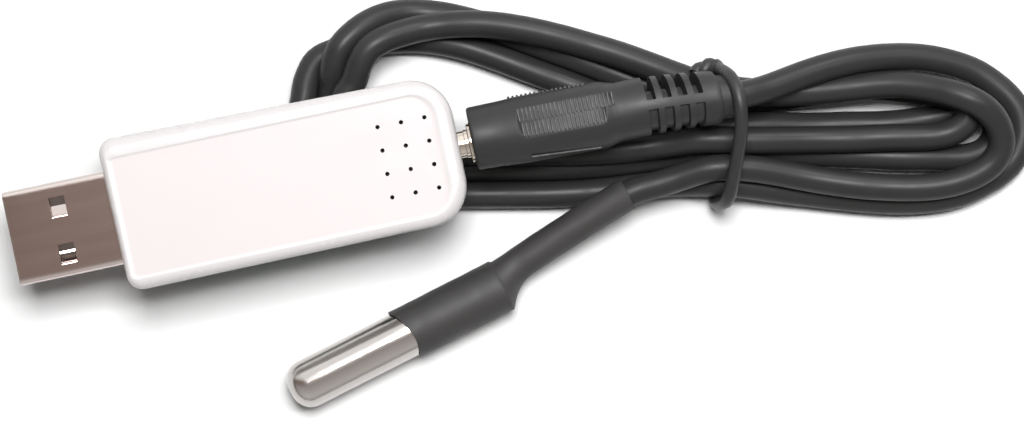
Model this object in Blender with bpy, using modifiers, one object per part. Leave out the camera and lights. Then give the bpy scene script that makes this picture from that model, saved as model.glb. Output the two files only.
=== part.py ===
"""USB temperature sensor: a stick with a USB-A plug at one end, and a steel probe on a cord that
plugs into the other end.

Lengths are in metres. +X runs along the stick from the USB plug to the jack, +Z is up, and the cord's
hank and the probe lie on the ground at Z = 0, with the stick resting on the hank.
"""
import math

import bmesh
import bpy
from mathutils import Matrix, Vector

MM = 0.001

# Clearances
gap = 0.3 * MM                      # between neighbouring housings
fine_gap = 0.1 * MM                 # between small flat pieces
bore_gap = 0.15 * MM                # round a pin in its bore

# Cord and hank
cord_radius = 1.75 * MM
hank_layers = 2
hank_edge = 1.3 * MM                # rounding of the hank's rims
near_leg_start = 27.0 * MM          # from here on, the left loop's near leg is one layer high
near_leg_side = 8.2 * MM

# Case
case_length = 44.5 * MM
case_width = 18.9 * MM
case_thickness = 9.0 * MM
case_wall = 1.3 * MM
case_edge = 1.9 * MM                # rounding of the top and bottom rims
case_usb_corner = 2.2 * MM
case_jack_corner = 5.2 * MM
seam_lip = 0.9 * MM
label_inset = 2.1 * MM
label_depth = 0.12 * MM
vent_radius = 0.3 * MM
vent_pitch = 3.0 * MM
vent_columns = 3
vent_rows = 4
vent_to_end = 6.5 * MM              # middle of the vent pattern from the jack end
post_radius = 1.1 * MM
post_to_wall = 0.75 * MM
post_columns = (10.7 * MM, 26.7 * MM)   # board posts from the USB end of the case

# USB-A plug
usb_width = 12.0 * MM
usb_height = 4.5 * MM
usb_sheet = 0.3 * MM
usb_length = 18.7 * MM
usb_exposed = 13.2 * MM
usb_edge = 0.7 * MM
tongue_edge = 0.15 * MM
window_length = 2.0 * MM
window_width = 2.6 * MM
window_to_mouth = 6.4 * MM
window_offset = 3.0 * MM
tongue_setback = 1.6 * MM
tongue_thickness = 1.7 * MM
insulator_base = 5.4 * MM
contact_width = 0.9 * MM
contact_thickness = 0.25 * MM
contact_setback = 2.6 * MM
contact_places = (-3.5 * MM, -1.0 * MM, 1.0 * MM, 3.5 * MM)
contact_tail = 2.4 * MM

# Circuit board
board_thickness = 0.8 * MM
board_drop = 0.2 * MM               # top of the board below the stick's middle plane
board_side_gap = 0.5 * MM
board_corner = 0.8 * MM
chip_edge = 0.1 * MM

# Jack plug, 3.5 mm, three contacts
jack_radius = 1.75 * MM
jack_reach = 14.0 * MM              # from the shoulder to the point
jack_standoff = 1.3 * MM            # from the case to the shoulder
shoulder_radius = 2.55 * MM
shoulder_length = 0.7 * MM
shoulder_bevel = 0.12 * MM
collar_length = 0.5 * MM            # thicker part of the sleeve in front of the shoulder
jack_tip_length = 3.8 * MM
jack_neck_radius = 1.08 * MM        # waist of the tip, where its spring catches
jack_nose_radius = 0.5 * MM
jack_insulator_length = 0.6 * MM
jack_ring_length = 2.2 * MM
jack_rod_radius = 0.6 * MM
jack_stem = 6.0 * MM

# Jack socket
socket_length = 12.2 * MM
socket_width = 6.4 * MM
socket_height = 5.0 * MM
socket_nose_radius = 2.5 * MM
spring_thickness = 0.25 * MM
spring_height = 1.2 * MM
spring_length = 2.6 * MM
socket_edge = 0.3 * MM

# Moulding on the jack plug
front_radius = 4.05 * MM
front_length = 4.1 * MM
front_round = 0.9 * MM
grip_radius = 4.3 * MM
grip_length = 11.6 * MM
grip_taper = 2.6 * MM
waist_radius = 3.75 * MM
waist_length = 3.0 * MM
relief_radius = 3.5 * MM
relief_core = 2.35 * MM
relief_collar = 1.9 * MM
slot_count = 4
slot_width = 0.95 * MM
slot_pitch = 1.86 * MM
spine_width = 1.3 * MM
nozzle_radius = 2.45 * MM
nozzle_length = 1.9 * MM
rim_round = 0.2 * MM
lead_seat = 1.5 * MM                # depth of the cord's seat in the nozzle
moulding_droop = 1.0 * MM           # sideways set of the strain relief at its end
pad_width = 5.0 * MM
pad_setback = 1.0 * MM
pad_flat = 3.62 * MM                # height of the pad's flat above the plug's axis
pad_rib_pitch = 0.55 * MM
pad_rib_width = 0.27 * MM
pad_rib_height = 0.26 * MM
notch_pitch = 0.78 * MM
notch_width = 0.42 * MM
notch_height = 0.28 * MM
notch_reach = 3.4 * MM
notch_half_height = 1.6 * MM

# Probe
tube_radius = 3.15 * MM
tube_wall = 0.4 * MM
tube_length = 30.0 * MM
tube_end_round = 2.6 * MM
probe_angle = math.radians(15.0)
probe_tip_x = -9.6 * MM
probe_tip_y = -16.8 * MM
sleeve_gap = 0.12 * MM
sleeve_wall = 0.22 * MM
sleeve_start = 15.6 * MM            # bare tube that shows
sleeve_neck = 2.6 * MM
sleeve_tail = 17.2 * MM
tail_offset = 0.9 * MM              # the tail leaves the neck to one side
tail_side = 3.2 * MM
tail_rise = 2.7 * MM
chip_radius = 2.2 * MM
chip_flat = 0.9 * MM
chip_length = 4.6 * MM
chip_setback = 3.0 * MM
wire_radius = 0.25 * MM
wire_pitch = 1.27 * MM
potting_length = 18.0 * MM
potting_setback = 0.5 * MM          # potting from the chip's wires

# Wire tie
tie_radius = 0.9 * MM
twist_radius = 1.03 * MM

facets = 28
corner_steps = 6

# Places that follow from the sizes
single_layer = 2 * cord_radius
hank_height = hank_layers * single_layer
waist_lift = 2 * tie_radius + 2 * gap
stick_y = 9.65 * MM
stick_z = hank_height + gap + case_thickness / 2
mouth_x = -39.5 * MM
case_start = mouth_x + usb_exposed
case_end = case_start + case_length
board_top = -board_drop
shoulder_x = case_end + jack_standoff
jack_tip_x = shoulder_x - jack_reach
moulding_x = shoulder_x + shoulder_length + gap
relief_x = moulding_x + front_length + grip_length + grip_taper + waist_length
relief_length = slot_count * slot_pitch
nozzle_x = relief_x + relief_length + relief_collar
moulding_end = nozzle_x + nozzle_length

# Objects and collections

for leftover in list(bpy.data.objects):
    bpy.data.objects.remove(leftover)

parts = bpy.data.collections.new("usb_temperature_sensor")
cutters = bpy.data.collections.new("cutters")
for collection in (parts, cutters):
    bpy.context.scene.collection.children.link(collection)

ground = bpy.data.objects.new("ground_frame", None)
stick = bpy.data.objects.new("stick_frame", None)
probe = bpy.data.objects.new("probe_frame", None)
for frame in (ground, stick, probe):
    parts.objects.link(frame)
stick.parent = ground
probe.parent = ground
stick.location = (0, stick_y, stick_z)
probe.location = (probe_tip_x, probe_tip_y, tube_radius + sleeve_gap + sleeve_wall)
probe.rotation_euler = (0, 0, probe_angle)


def principled(name, colour, metallic, roughness):
    """A plain material of one colour."""
    made = bpy.data.materials.new(name)
    made.use_nodes = True
    shader = made.node_tree.nodes["Principled BSDF"]
    shader.inputs["Base Color"].default_value = (*colour, 1)
    shader.inputs["Metallic"].default_value = metallic
    shader.inputs["Roughness"].default_value = roughness
    return made


looks = {
    "white_plastic": ((0.88, 0.86, 0.86), 0, 0.25),
    "usb_steel": ((0.52, 0.47, 0.45), 1, 0.3),
    "nickel": ((0.66, 0.62, 0.55), 1, 0.22),
    "contact_gold": ((0.83, 0.65, 0.3), 1, 0.3),
    "tongue_plastic": ((0.72, 0.72, 0.7), 0, 0.5),
    "board_green": ((0.02, 0.2, 0.09), 0, 0.4),
    "chip_black": ((0.02, 0.02, 0.02), 0, 0.5),
    "crystal_can": ((0.72, 0.72, 0.7), 1, 0.3),
    "capacitor_brown": ((0.45, 0.32, 0.2), 0, 0.5),
    "resistor_black": ((0.04, 0.04, 0.05), 0, 0.4),
    "socket_black": ((0.02, 0.02, 0.02), 0, 0.45),
    "ring_black": ((0.01, 0.01, 0.01), 0, 0.4),
    "moulding_grey": ((0.035, 0.036, 0.036), 0, 0.5),
    "cord_grey": ((0.04, 0.04, 0.041), 0, 0.4),
    "tie_grey": ((0.05, 0.05, 0.05), 0, 0.5),
    "probe_steel": ((0.62, 0.58, 0.56), 1, 0.22),
    "sleeve_grey": ((0.06, 0.058, 0.059), 0, 0.6),
    "potting_grey": ((0.1, 0.1, 0.1), 0, 0.5),
}


def finish(piece, look, frame=None):
    """Put a piece among the parts, with its frame, its material and smooth round faces."""
    made = principled(piece.name, *looks[look])
    piece.data.materials.clear()
    piece.data.materials.append(made)
    piece.parent = frame or ground
    if piece.type == "MESH":
        piece.data.shade_smooth()
        piece.data.set_sharp_from_angle(angle=math.radians(35))
    return piece


def mesh_object(name, build):
    """An object whose mesh is made by build(bm)."""
    mesh = bpy.data.meshes.new(name)
    bm = bmesh.new()
    build(bm)
    bmesh.ops.recalc_face_normals(bm, faces=bm.faces)
    bm.to_mesh(mesh)
    bm.free()
    made = bpy.data.objects.new(name, mesh)
    parts.objects.link(made)
    return made


def boxes(name, corners):
    """Separate boxes in one object, each between two corners."""
    def build(bm):
        for low, high in corners:
            low, high = Vector(low), Vector(high)
            size = Matrix.Diagonal((*(high - low), 1))
            bmesh.ops.create_cube(bm, size=1, matrix=Matrix.Translation((low + high) / 2) @ size)

    return mesh_object(name, build)


def box(name, low, high):
    """A box between two corners."""
    return boxes(name, [(low, high)])


def prism(name, outline, bottom, top):
    """An upright solid over a closed outline of (x, y) points."""
    def build(bm):
        base = bm.faces.new([bm.verts.new((x, y, bottom)) for x, y in outline])
        lifted = bmesh.ops.extrude_face_region(bm, geom=[base])["geom"]
        risen = [item for item in lifted if isinstance(item, bmesh.types.BMVert)]
        bmesh.ops.translate(bm, verts=risen, vec=(0, 0, top - bottom))

    return mesh_object(name, build)


def turned(name, profile, closed=False, steps=facets):
    """A turned piece lying along X: the profile is (x, radius) points, from the right end to the left.

    An open profile starts and ends on the axis, and a closed one is the section of a hollow piece."""
    def build(bm):
        points = [bm.verts.new((radius, 0, x)) for x, radius in profile]
        for first, second in zip(points, points[1:]):
            bm.edges.new((first, second))
        if closed:
            bm.edges.new((points[-1], points[0]))

    made = mesh_object(name, build)
    screw = made.modifiers.new("turn", "SCREW")
    screw.steps = screw.render_steps = steps
    screw.use_merge_vertices = True
    screw.merge_threshold = 0.000001
    made.rotation_euler = (0, math.pi / 2, 0)
    return made


def rod(name, start, end, radius, steps=16):
    """A round bar along X."""
    return turned(name, [(end, 0), (end, radius), (start, radius), (start, 0)], steps=steps)


def hollow(name, start, end, bore, radius, steps=facets):
    """A round pipe along X."""
    section = [(end, bore), (end, radius), (start, radius), (start, bore)]
    return turned(name, section, closed=True, steps=steps)


def round_rims(piece, width, segments=3):
    """Round the edges that are sharper than 50 degrees."""
    rims = piece.modifiers.new("rounded_edges", "BEVEL")
    rims.width = width
    rims.segments = segments
    rims.limit_method = "ANGLE"
    rims.angle_limit = math.radians(50)


def combine(piece, tool, operation="DIFFERENCE"):
    """Cut a piece with a tool, or join the tool to it, and set the tool aside."""
    step = piece.modifiers.new(tool.name, "BOOLEAN")
    step.object = tool
    step.operation = operation
    step.solver = "EXACT"
    set_aside(tool)
    tool.parent = piece.parent or tool.parent
    return piece


def set_aside(tool):
    """Keep a tool out of the parts and out of the picture."""
    if tool.name in parts.objects:
        parts.objects.unlink(tool)
        cutters.objects.link(tool)
    tool.hide_render = True
    tool.display_type = "WIRE"


def as_mesh(piece):
    """The piece with its modifiers or its curve made into plain mesh."""
    scene_state = bpy.context.evaluated_depsgraph_get()
    mesh = bpy.data.meshes.new_from_object(piece.evaluated_get(scene_state))
    bm = bmesh.new()
    bm.from_mesh(mesh)
    bmesh.ops.remove_doubles(bm, verts=bm.verts, dist=0.000001)
    bmesh.ops.recalc_face_normals(bm, faces=bm.faces)
    bm.to_mesh(mesh)
    bm.free()
    name = piece.name
    place = piece.matrix_basis.copy()
    parent = piece.parent
    bpy.data.objects.remove(piece)
    made = bpy.data.objects.new(name, mesh)
    made.matrix_basis = place
    made.parent = parent
    parts.objects.link(made)
    return made


def rounded_rectangle(left, right, half_width, left_radius, right_radius):
    """A rectangle's outline, with one corner radius at its left end and another at its right."""
    corners = [
        (right - right_radius, half_width - right_radius, right_radius, 0),
        (left + left_radius, half_width - left_radius, left_radius, 1),
        (left + left_radius, left_radius - half_width, left_radius, 2),
        (right - right_radius, right_radius - half_width, right_radius, 3),
    ]
    outline = []
    for x, y, radius, quarter in corners:
        for step in range(corner_steps + 1):
            turn = (quarter + step / corner_steps) * math.pi / 2
            outline.append((x + radius * math.cos(turn), y + radius * math.sin(turn)))
    return outline


def smooth_path(points, steps, closed=False):
    """Points along a smooth curve through the given ones."""
    points = [Vector(point) for point in points]
    count = len(points)
    path = []
    spans = count if closed else count - 1
    for index in range(spans):
        if closed:
            before, start, end, after = (points[(index + shift) % count] for shift in (-1, 0, 1, 2))
        else:
            before, start = points[max(index - 1, 0)], points[index]
            end, after = points[index + 1], points[min(index + 2, count - 1)]
        for step in range(steps):
            t = step / steps
            path.append(0.5 * (2 * start + (end - before) * t
                               + (2 * before - 5 * start + 4 * end - after) * t ** 2
                               + (3 * start - before - 3 * end + after) * t ** 3))
    if not closed:
        path.append(points[-1])
    return path


def tube(name, path, radii, closed=False, sides=2):
    """A round tube along a path. radii is one radius, or one for each point."""
    curve = bpy.data.curves.new(name, "CURVE")
    curve.dimensions = "3D"
    curve.bevel_depth = 1
    curve.bevel_resolution = sides
    curve.use_fill_caps = not closed
    spline = curve.splines.new("POLY")
    spline.points.add(len(path) - 1)
    spline.use_cyclic_u = closed
    if not isinstance(radii, list):
        radii = [radii] * len(path)
    for point, place, radius in zip(spline.points, path, radii):
        point.co = (*place, 1)
        point.radius = radius
    made = bpy.data.objects.new(name, curve)
    parts.objects.link(made)
    return made


# Case: two shells that meet at the middle plane

def case_outline(inset):
    """The case seen from above, drawn in by inset."""
    return rounded_rectangle(
        case_start + inset,
        case_end - inset,
        case_width / 2 - inset,
        max(case_usb_corner - inset, 0.4 * MM),
        max(case_jack_corner - inset, 0.4 * MM),
    )


def case_half(name, side):
    """One half of the case. side is 1 for the upper half and -1 for the lower."""
    half = prism(name, case_outline(0), -case_thickness / 2, case_thickness / 2)
    half.parent = stick
    round_rims(half, case_edge, 5)
    inner = case_thickness / 2 - case_wall
    combine(half, prism(name + "_room", case_outline(case_wall), -inner, inner))
    reach = case_thickness
    edges = sorted((side * gap / 2, -side * reach))
    far = case_width
    combine(half, box(name + "_other_half", (case_start - far, -far, edges[0]),
                      (case_end + far, far, edges[1])))
    return half


def open_ends(half):
    """Cut a half's share of the slot for the USB plug and of the hole for the jack socket."""
    side, height = usb_width / 2 + gap, usb_height / 2 + gap
    combine(half, box(half.name + "_usb_slot", (case_start - case_wall, -side, -height),
                      (case_start + 2 * case_wall, side, height)))
    combine(half, rod(half.name + "_jack_hole", case_end - 2 * case_wall, case_end + case_wall,
                      socket_nose_radius + gap, facets))


upper_case = case_half("upper_case", 1)
rebate = case_outline(case_wall / 2 - fine_gap)
combine(upper_case, prism("upper_case_rebate", rebate, -case_wall, seam_lip + gap))
open_ends(upper_case)
combine(upper_case, prism("label_recess", case_outline(label_inset),
                          case_thickness / 2 - label_depth, case_thickness))
for column in range(vent_columns):
    for row in range(vent_rows):
        vent_x = case_end - vent_to_end + (column - (vent_columns - 1) / 2) * vent_pitch
        vent_y = (row - (vent_rows - 1) / 2) * vent_pitch
        outline = [(vent_x + vent_radius * math.cos(turn), vent_y + vent_radius * math.sin(turn))
                   for turn in (step * math.pi / 6 for step in range(12))]
        combine(upper_case, prism(f"vent_{column}_{row}", outline, 0, case_thickness))

lower_case = case_half("lower_case", -1)
lip = prism("seam_lip", case_outline(case_wall / 2 + fine_gap), -2 * gap, seam_lip)
lip.parent = stick
combine(lip, prism("seam_lip_room", case_outline(case_wall + 0.2 * fine_gap), -case_wall, 2 * case_wall))
combine(lower_case, lip, "UNION")
open_ends(lower_case)

post_sides = case_width / 2 - case_wall - post_to_wall - post_radius
post_places = [(case_start + column, side * post_sides) for column in post_columns for side in (-1, 1)]
floor = case_thickness / 2 - case_wall / 2


def post(name, place, low, high):
    """A round post that holds the board."""
    x, y = place
    ring = [(x + post_radius * math.cos(step * math.pi / 8), y + post_radius * math.sin(step * math.pi / 8))
            for step in range(16)]
    return prism(name, ring, low, high)


for number, place in enumerate(post_places):
    combine(lower_case, post(f"lower_post_{number}", place, -floor, board_top - board_thickness - fine_gap),
            "UNION")
    combine(upper_case, post(f"upper_post_{number}", place, board_top + fine_gap, floor), "UNION")
finish(upper_case, "white_plastic", stick)
finish(lower_case, "white_plastic", stick)

# USB-A plug: folded shell, insulator with its tongue, four contacts

def usb_section(name, inset, start, end):
    """A bar of the plug's section along X."""
    radius = max(usb_edge - inset, tongue_edge)
    half_height = usb_height / 2 - inset
    section = rounded_rectangle(-half_height, half_height, usb_width / 2 - inset, radius, radius)
    bar = prism(name, section, start, end)
    bar.rotation_euler = (0, math.pi / 2, 0)
    return bar


usb_plug_shell = usb_section("usb_plug_shell", 0, mouth_x, mouth_x + usb_length)
usb_plug_shell.parent = stick
combine(usb_plug_shell, usb_section("usb_inside", usb_sheet, mouth_x - gap, mouth_x + usb_length + gap))
for window_side in (-1, 1):
    middle_y = window_side * window_offset
    middle_x = mouth_x + window_to_mouth
    combine(usb_plug_shell, box(
        f"window_{window_side}",
        (middle_x - window_length / 2, middle_y - window_width / 2, -usb_height),
        (middle_x + window_length / 2, middle_y + window_width / 2, usb_height)))
finish(usb_plug_shell, "usb_steel", stick)

insulator_half_width = usb_width / 2 - usb_sheet - fine_gap
insulator_half_height = usb_height / 2 - usb_sheet - fine_gap
insulator_end = mouth_x + usb_length - gap
usb_insulator = box(
    "usb_insulator",
    (mouth_x + tongue_setback, -insulator_half_width + usb_edge, board_top - tongue_thickness),
    (insulator_end, insulator_half_width - usb_edge, board_top))
usb_insulator.parent = stick
round_rims(usb_insulator, tongue_edge, 1)
insulator_block = usb_section("insulator_block", usb_sheet + fine_gap, insulator_end - insulator_base,
                              insulator_end)
combine(usb_insulator, insulator_block, "UNION")
for number, place in enumerate(contact_places):
    low_z = board_top + fine_gap
    span = (mouth_x + contact_setback, insulator_end + contact_tail)
    combine(usb_insulator, box(
        f"contact_slot_{number + 1}",
        (span[0] - gap, place - contact_width / 2 - fine_gap, board_top),
        (span[1] + gap, place + contact_width / 2 + fine_gap, low_z + contact_thickness + fine_gap)))
    contact = box(
        f"usb_contact_{number + 1}",
        (span[0], place - contact_width / 2, low_z),
        (span[1], place + contact_width / 2, low_z + contact_thickness))
    finish(contact, "contact_gold", stick)
finish(usb_insulator, "tongue_plastic", stick)

# Circuit board and what it carries

board_start = mouth_x + usb_length + gap
board_end = case_end - case_wall - board_side_gap
board_half = case_width / 2 - case_wall - board_side_gap
circuit_board = prism(
    "circuit_board",
    rounded_rectangle(board_start, board_end, board_half, board_corner, case_jack_corner - case_wall),
    board_top - board_thickness, board_top)
circuit_board.parent = stick
socket_end = case_end - case_wall - fine_gap
socket_start = socket_end - socket_length
combine(circuit_board, box(
    "socket_notch",
    (socket_start - gap, -socket_width / 2 - gap, -case_thickness),
    (case_end, socket_width / 2 + gap, case_thickness)))
finish(circuit_board, "board_green", stick)

# Name, look, share of the case's length, side of the board, distance in from its edge, and three sizes
board_pieces = [
    ("controller_chip", "chip_black", 0.42, 0, 0, 5.0, 5.0, 0.9),
    ("crystal", "crystal_can", 0.52, 1, 4.25, 3.2, 2.5, 0.8),
    ("voltage_regulator", "chip_black", 0.33, 1, 3.05, 2.9, 1.6, 1.1),
    ("air_temperature_chip", "chip_black", 0.85, 1, 2.25, 3.0, 3.0, 0.9),
    ("capacitor_1", "capacitor_brown", 0.33, -1, 3.25, 1.6, 0.8, 0.8),
    ("capacitor_2", "capacitor_brown", 0.42, -1, 3.25, 1.6, 0.8, 0.8),
    ("capacitor_3", "capacitor_brown", 0.5, -1, 3.25, 1.6, 0.8, 0.8),
    ("resistor_1", "resistor_black", 0.78, -1, 2.25, 1.6, 0.8, 0.45),
    ("resistor_2", "resistor_black", 0.85, -1, 2.25, 1.6, 0.8, 0.45),
    ("resistor_3", "resistor_black", 0.92, -1, 2.85, 1.6, 0.8, 0.45),
]
for name, look, share, side, inset, *size in board_pieces:
    length, width, height = (value * MM for value in size)
    middle = case_start + share * case_length
    across = side * (board_half - inset * MM)
    low = (middle - length / 2, across - width / 2, board_top + fine_gap)
    high = (middle + length / 2, across + width / 2, board_top + fine_gap + height)
    chip = box(name, low, high)
    round_rims(chip, chip_edge, 1)
    finish(chip, look, stick)

# Jack socket: body on the board, nose in the case's end wall, three springs

jack_socket = box("jack_socket", (socket_start, -socket_width / 2, -socket_height / 2),
                  (socket_end, socket_width / 2, socket_height / 2))
jack_socket.parent = stick
round_rims(jack_socket, socket_edge, 2)
combine(jack_socket, rod("socket_nose", socket_end - gap, case_end - gap, socket_nose_radius, facets),
        "UNION")
combine(jack_socket, rod("socket_bore", jack_tip_x - gap, case_end + gap, jack_radius + bore_gap, facets))
ring_start = jack_tip_x + jack_tip_length + jack_insulator_length
sleeve_begin = ring_start + jack_ring_length + jack_insulator_length
springs = [
    ("socket_tip_spring", jack_tip_x + 0.7 * jack_tip_length, 1),
    ("socket_ring_spring", ring_start + jack_ring_length / 2, -1),
    ("socket_sleeve_spring", sleeve_begin + 2.2 * MM, 1),
]
spring_half = spring_length / 2
for name, middle, side in springs:
    slot = sorted((side * jack_radius * 0.5, side * socket_width))
    combine(jack_socket, box(
        name + "_slot",
        (middle - spring_half - fine_gap, slot[0], -spring_height / 2 - fine_gap),
        (middle + spring_half + fine_gap, slot[1], spring_height / 2 + fine_gap)))
    crest = jack_radius + fine_gap
    foot = socket_width / 2 - 2 * spring_thickness
    bow = [(step / 8 * 2 - 1, math.cos((step / 8 * 2 - 1) * math.pi / 2)) for step in range(9)]
    inner = [(middle + along * spring_half, foot + (crest - foot) * rise) for along, rise in bow]
    outer = [(x, y + spring_thickness) for x, y in reversed(inner)]
    outline = [(x, side * y) for x, y in inner + outer]
    finish(prism(name, outline, -spring_height / 2, spring_height / 2), "contact_gold", stick)
finish(jack_socket, "socket_black", stick)

# Jack plug: tip with its rod, two insulating rings, ring, sleeve with the shoulder

rod_end = moulding_x + jack_stem - gap
jack_tip = turned("jack_tip", [
    (rod_end, 0),
    (rod_end, jack_rod_radius),
    (jack_tip_x + jack_tip_length, jack_rod_radius),
    (jack_tip_x + jack_tip_length, jack_radius),
    (jack_tip_x + 0.78 * jack_tip_length, jack_radius),
    (jack_tip_x + 0.66 * jack_tip_length, jack_neck_radius),
    (jack_tip_x + 0.42 * jack_tip_length, 0.97 * jack_radius),
    (jack_tip_x + 0.28 * jack_tip_length, 0.9 * jack_radius),
    (jack_tip_x, jack_nose_radius),
    (jack_tip_x, 0),
], steps=24)
finish(jack_tip, "nickel", stick)
rod_bore = jack_rod_radius + bore_gap
edge = fine_gap / 2
for number, start in enumerate((jack_tip_x + jack_tip_length, sleeve_begin - jack_insulator_length)):
    insulator = hollow(f"jack_insulator_{number + 1}", start + edge, start + jack_insulator_length - edge,
                       rod_bore, jack_radius - fine_gap, 24)
    finish(insulator, "ring_black", stick)
jack_ring = hollow("jack_ring", ring_start + edge, ring_start + jack_ring_length - edge, rod_bore,
                   jack_radius, 24)
finish(jack_ring, "nickel", stick)
jack_plug_sleeve = turned("jack_plug_sleeve", [
    (moulding_x + jack_stem, rod_bore),
    (moulding_x + jack_stem, jack_radius),
    (shoulder_x + shoulder_length, jack_radius),
    (shoulder_x + shoulder_length, shoulder_radius),
    (shoulder_x + shoulder_bevel, shoulder_radius),
    (shoulder_x, shoulder_radius - shoulder_bevel),
    (shoulder_x, jack_radius + shoulder_bevel),
    (shoulder_x - collar_length, jack_radius + shoulder_bevel),
    (shoulder_x - collar_length, jack_radius),
    (sleeve_begin + edge, jack_radius),
    (sleeve_begin + edge, rod_bore),
], closed=True, steps=facets)
finish(jack_plug_sleeve, "nickel", stick)

# Moulding on the jack plug: ribbed grip, waist and slotted strain relief


def slot_outline(side):
    """The section of a slot on one side of the spine: part of a ring."""
    outline = []
    for radius, start, stop in ((2 * waist_radius, 0, 1), (relief_core, 1, 0)):
        edge_turn = math.asin(spine_width / 2 / radius)
        for step in range(facets // 2 + 1):
            share = start + (stop - start) * step * 2 / facets
            turn = edge_turn + (math.pi - 2 * edge_turn) * share
            outline.append((radius * math.cos(turn), side * radius * math.sin(turn)))
    return outline


grip_x = moulding_x + front_length
taper_x = grip_x + grip_length
waist_x = taper_x + grip_taper
moulding = turned("plug_moulding", [
    (moulding_end, 0),
    (moulding_end, nozzle_radius - rim_round),
    (moulding_end - rim_round, nozzle_radius),
    (nozzle_x, nozzle_radius),
    (nozzle_x - rim_round / 2, relief_radius - rim_round),
    (nozzle_x - 2 * rim_round, relief_radius),
    (relief_x + relief_length, relief_radius),
    (relief_x, waist_radius),
    (waist_x, waist_radius),
    (taper_x + 0.3 * grip_taper, grip_radius - 0.12 * (grip_radius - waist_radius)),
    (taper_x, grip_radius),
    (grip_x, grip_radius),
    (grip_x - rim_round, front_radius),
    (moulding_x + front_round, front_radius),
    (moulding_x + 0.3 * front_round, front_radius - 0.29 * front_round),
    (moulding_x, front_radius - front_round),
    (moulding_x, 0),
])
moulding.parent = stick
for number in range(slot_count):
    slot_x = relief_x + (number + 0.25) * slot_pitch
    for slot_side in (-1, 1):
        slot = prism(f"relief_slot_{number}_{slot_side}", slot_outline(slot_side),
                     slot_x, slot_x + slot_width)
        slot.rotation_euler = (0, math.pi / 2, 0)
        combine(moulding, slot)
pad_start = grip_x + pad_setback
pad_length = grip_length + gap
pad_ribs = int(pad_length / pad_rib_pitch)
for pad_side in (-1, 1):
    flat = sorted((pad_side * pad_flat, pad_side * case_thickness))
    combine(moulding, box(
        f"pad_flat_{pad_side}",
        (pad_start - pad_rib_pitch, -pad_width / 2, flat[0]),
        (pad_start + pad_length, pad_width / 2, flat[1])))
    foot, crest = sorted((pad_side * (pad_flat - gap), pad_side * (pad_flat + pad_rib_height)))
    rib_places = [pad_start + number * pad_rib_pitch for number in range(pad_ribs)]
    combine(moulding, boxes(f"pad_ribs_{pad_side}", [
        ((x, fine_gap - pad_width / 2, foot), (x + pad_rib_width, pad_width / 2 - fine_gap, crest))
        for x in rib_places]), "UNION")
notch_count = int((grip_length - notch_pitch) / notch_pitch)
for notch_side in (-1, 1):
    foot, crest = sorted((notch_side * notch_reach, notch_side * (grip_radius + notch_height)))
    ridge_places = [grip_x + gap + number * notch_pitch for number in range(notch_count)]
    combine(moulding, boxes(f"side_ridges_{notch_side}", [
        ((x, foot, -notch_half_height), (x + notch_width, crest, notch_half_height))
        for x in ridge_places]), "UNION")
combine(moulding, rod("moulding_front_bore", moulding_x - gap, moulding_x + jack_stem + gap,
                      jack_radius + bore_gap, facets))
combine(moulding, rod("moulding_rear_bore", moulding_end - lead_seat, moulding_end + gap,
                      cord_radius + bore_gap, facets))


def droop_at(x):
    """How far the strain relief leans aside at a place along it."""
    along = max(0, x - waist_x) / (moulding_end - waist_x)
    return moulding_droop * along ** 2


moulding = as_mesh(moulding)
for vertex in moulding.data.vertices:
    vertex.co.y -= droop_at(vertex.co.z)
finish(moulding, "moulding_grey", stick)

# Cord: the lead from the plug, the hank, and the lead to the probe

lead_start = moulding_end - lead_seat + gap
plug_lead_route = [
    (lead_start, stick_y - droop_at(lead_start), stick_z),
    (moulding_end, stick_y - droop_at(moulding_end), stick_z),
    (55.5 * MM, 8.2 * MM, 11.2 * MM),
    (58.0 * MM, 8.6 * MM, 10.2 * MM),
    (61.0 * MM, 9.2 * MM, 9.4 * MM),
    (64.0 * MM, 9.9 * MM, 9.1 * MM),
    (66.5 * MM, 10.3 * MM, 9.1 * MM),
]
finish(tube("cord_plug_lead", smooth_path(plug_lead_route, 2), cord_radius), "cord_grey")


def in_mm(points):
    """Chosen points, given in millimetres."""
    return [tuple(value * MM for value in point) for point in points]


left_outer = in_mm([
    (48.5, -3.6), (40, -2.2), (34, -1.2), (29, -0.5), (18, 1.6), (6.5, 4.1), (-0.2, 6.9), (-3.6, 11.2),
    (-3.8, 15.8), (-1.9, 19.8), (1.4, 23.3), (4.4, 26.4), (7.0, 29.0), (11.3, 30.0), (15.7, 29.2),
    (24.4, 26.0), (31.9, 23.4), (37.9, 20.0), (43.5, 17.4), (48.5, 14.9),
])
left_inner = in_mm([
    (4.7, 17.3), (7.0, 19.7), (13.2, 23.4), (18.1, 21.8), (24.0, 18.6), (30.4, 14.8), (36.0, 10.8),
    (35.0, 7.2), (28.8, 7.0), (19.1, 7.7), (10.3, 9.5), (4.8, 13.3),
])
right_outer = in_mm([
    (56.0, 10.8), (58.6, 10.4), (63.1, 11.2), (67.5, 11.7), (71.9, 11.7), (79.7, 10.2), (86.9, 5.8),
    (89.7, -1.0), (87.8, -6.9), (82.2, -10.6), (78.0, -11.2), (72.6, -10.7), (67.4, -9.3), (62.4, -7.8),
    (56.0, -5.5),
])
waist_outline = in_mm([(45, -2.9), (60, -2.9), (60, 10.9), (45, 10.9)])


def smooth_outline(points, closed=False):
    """A rounder outline through chosen points."""
    return [tuple(point) for point in smooth_path(points, 2, closed)]


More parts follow.
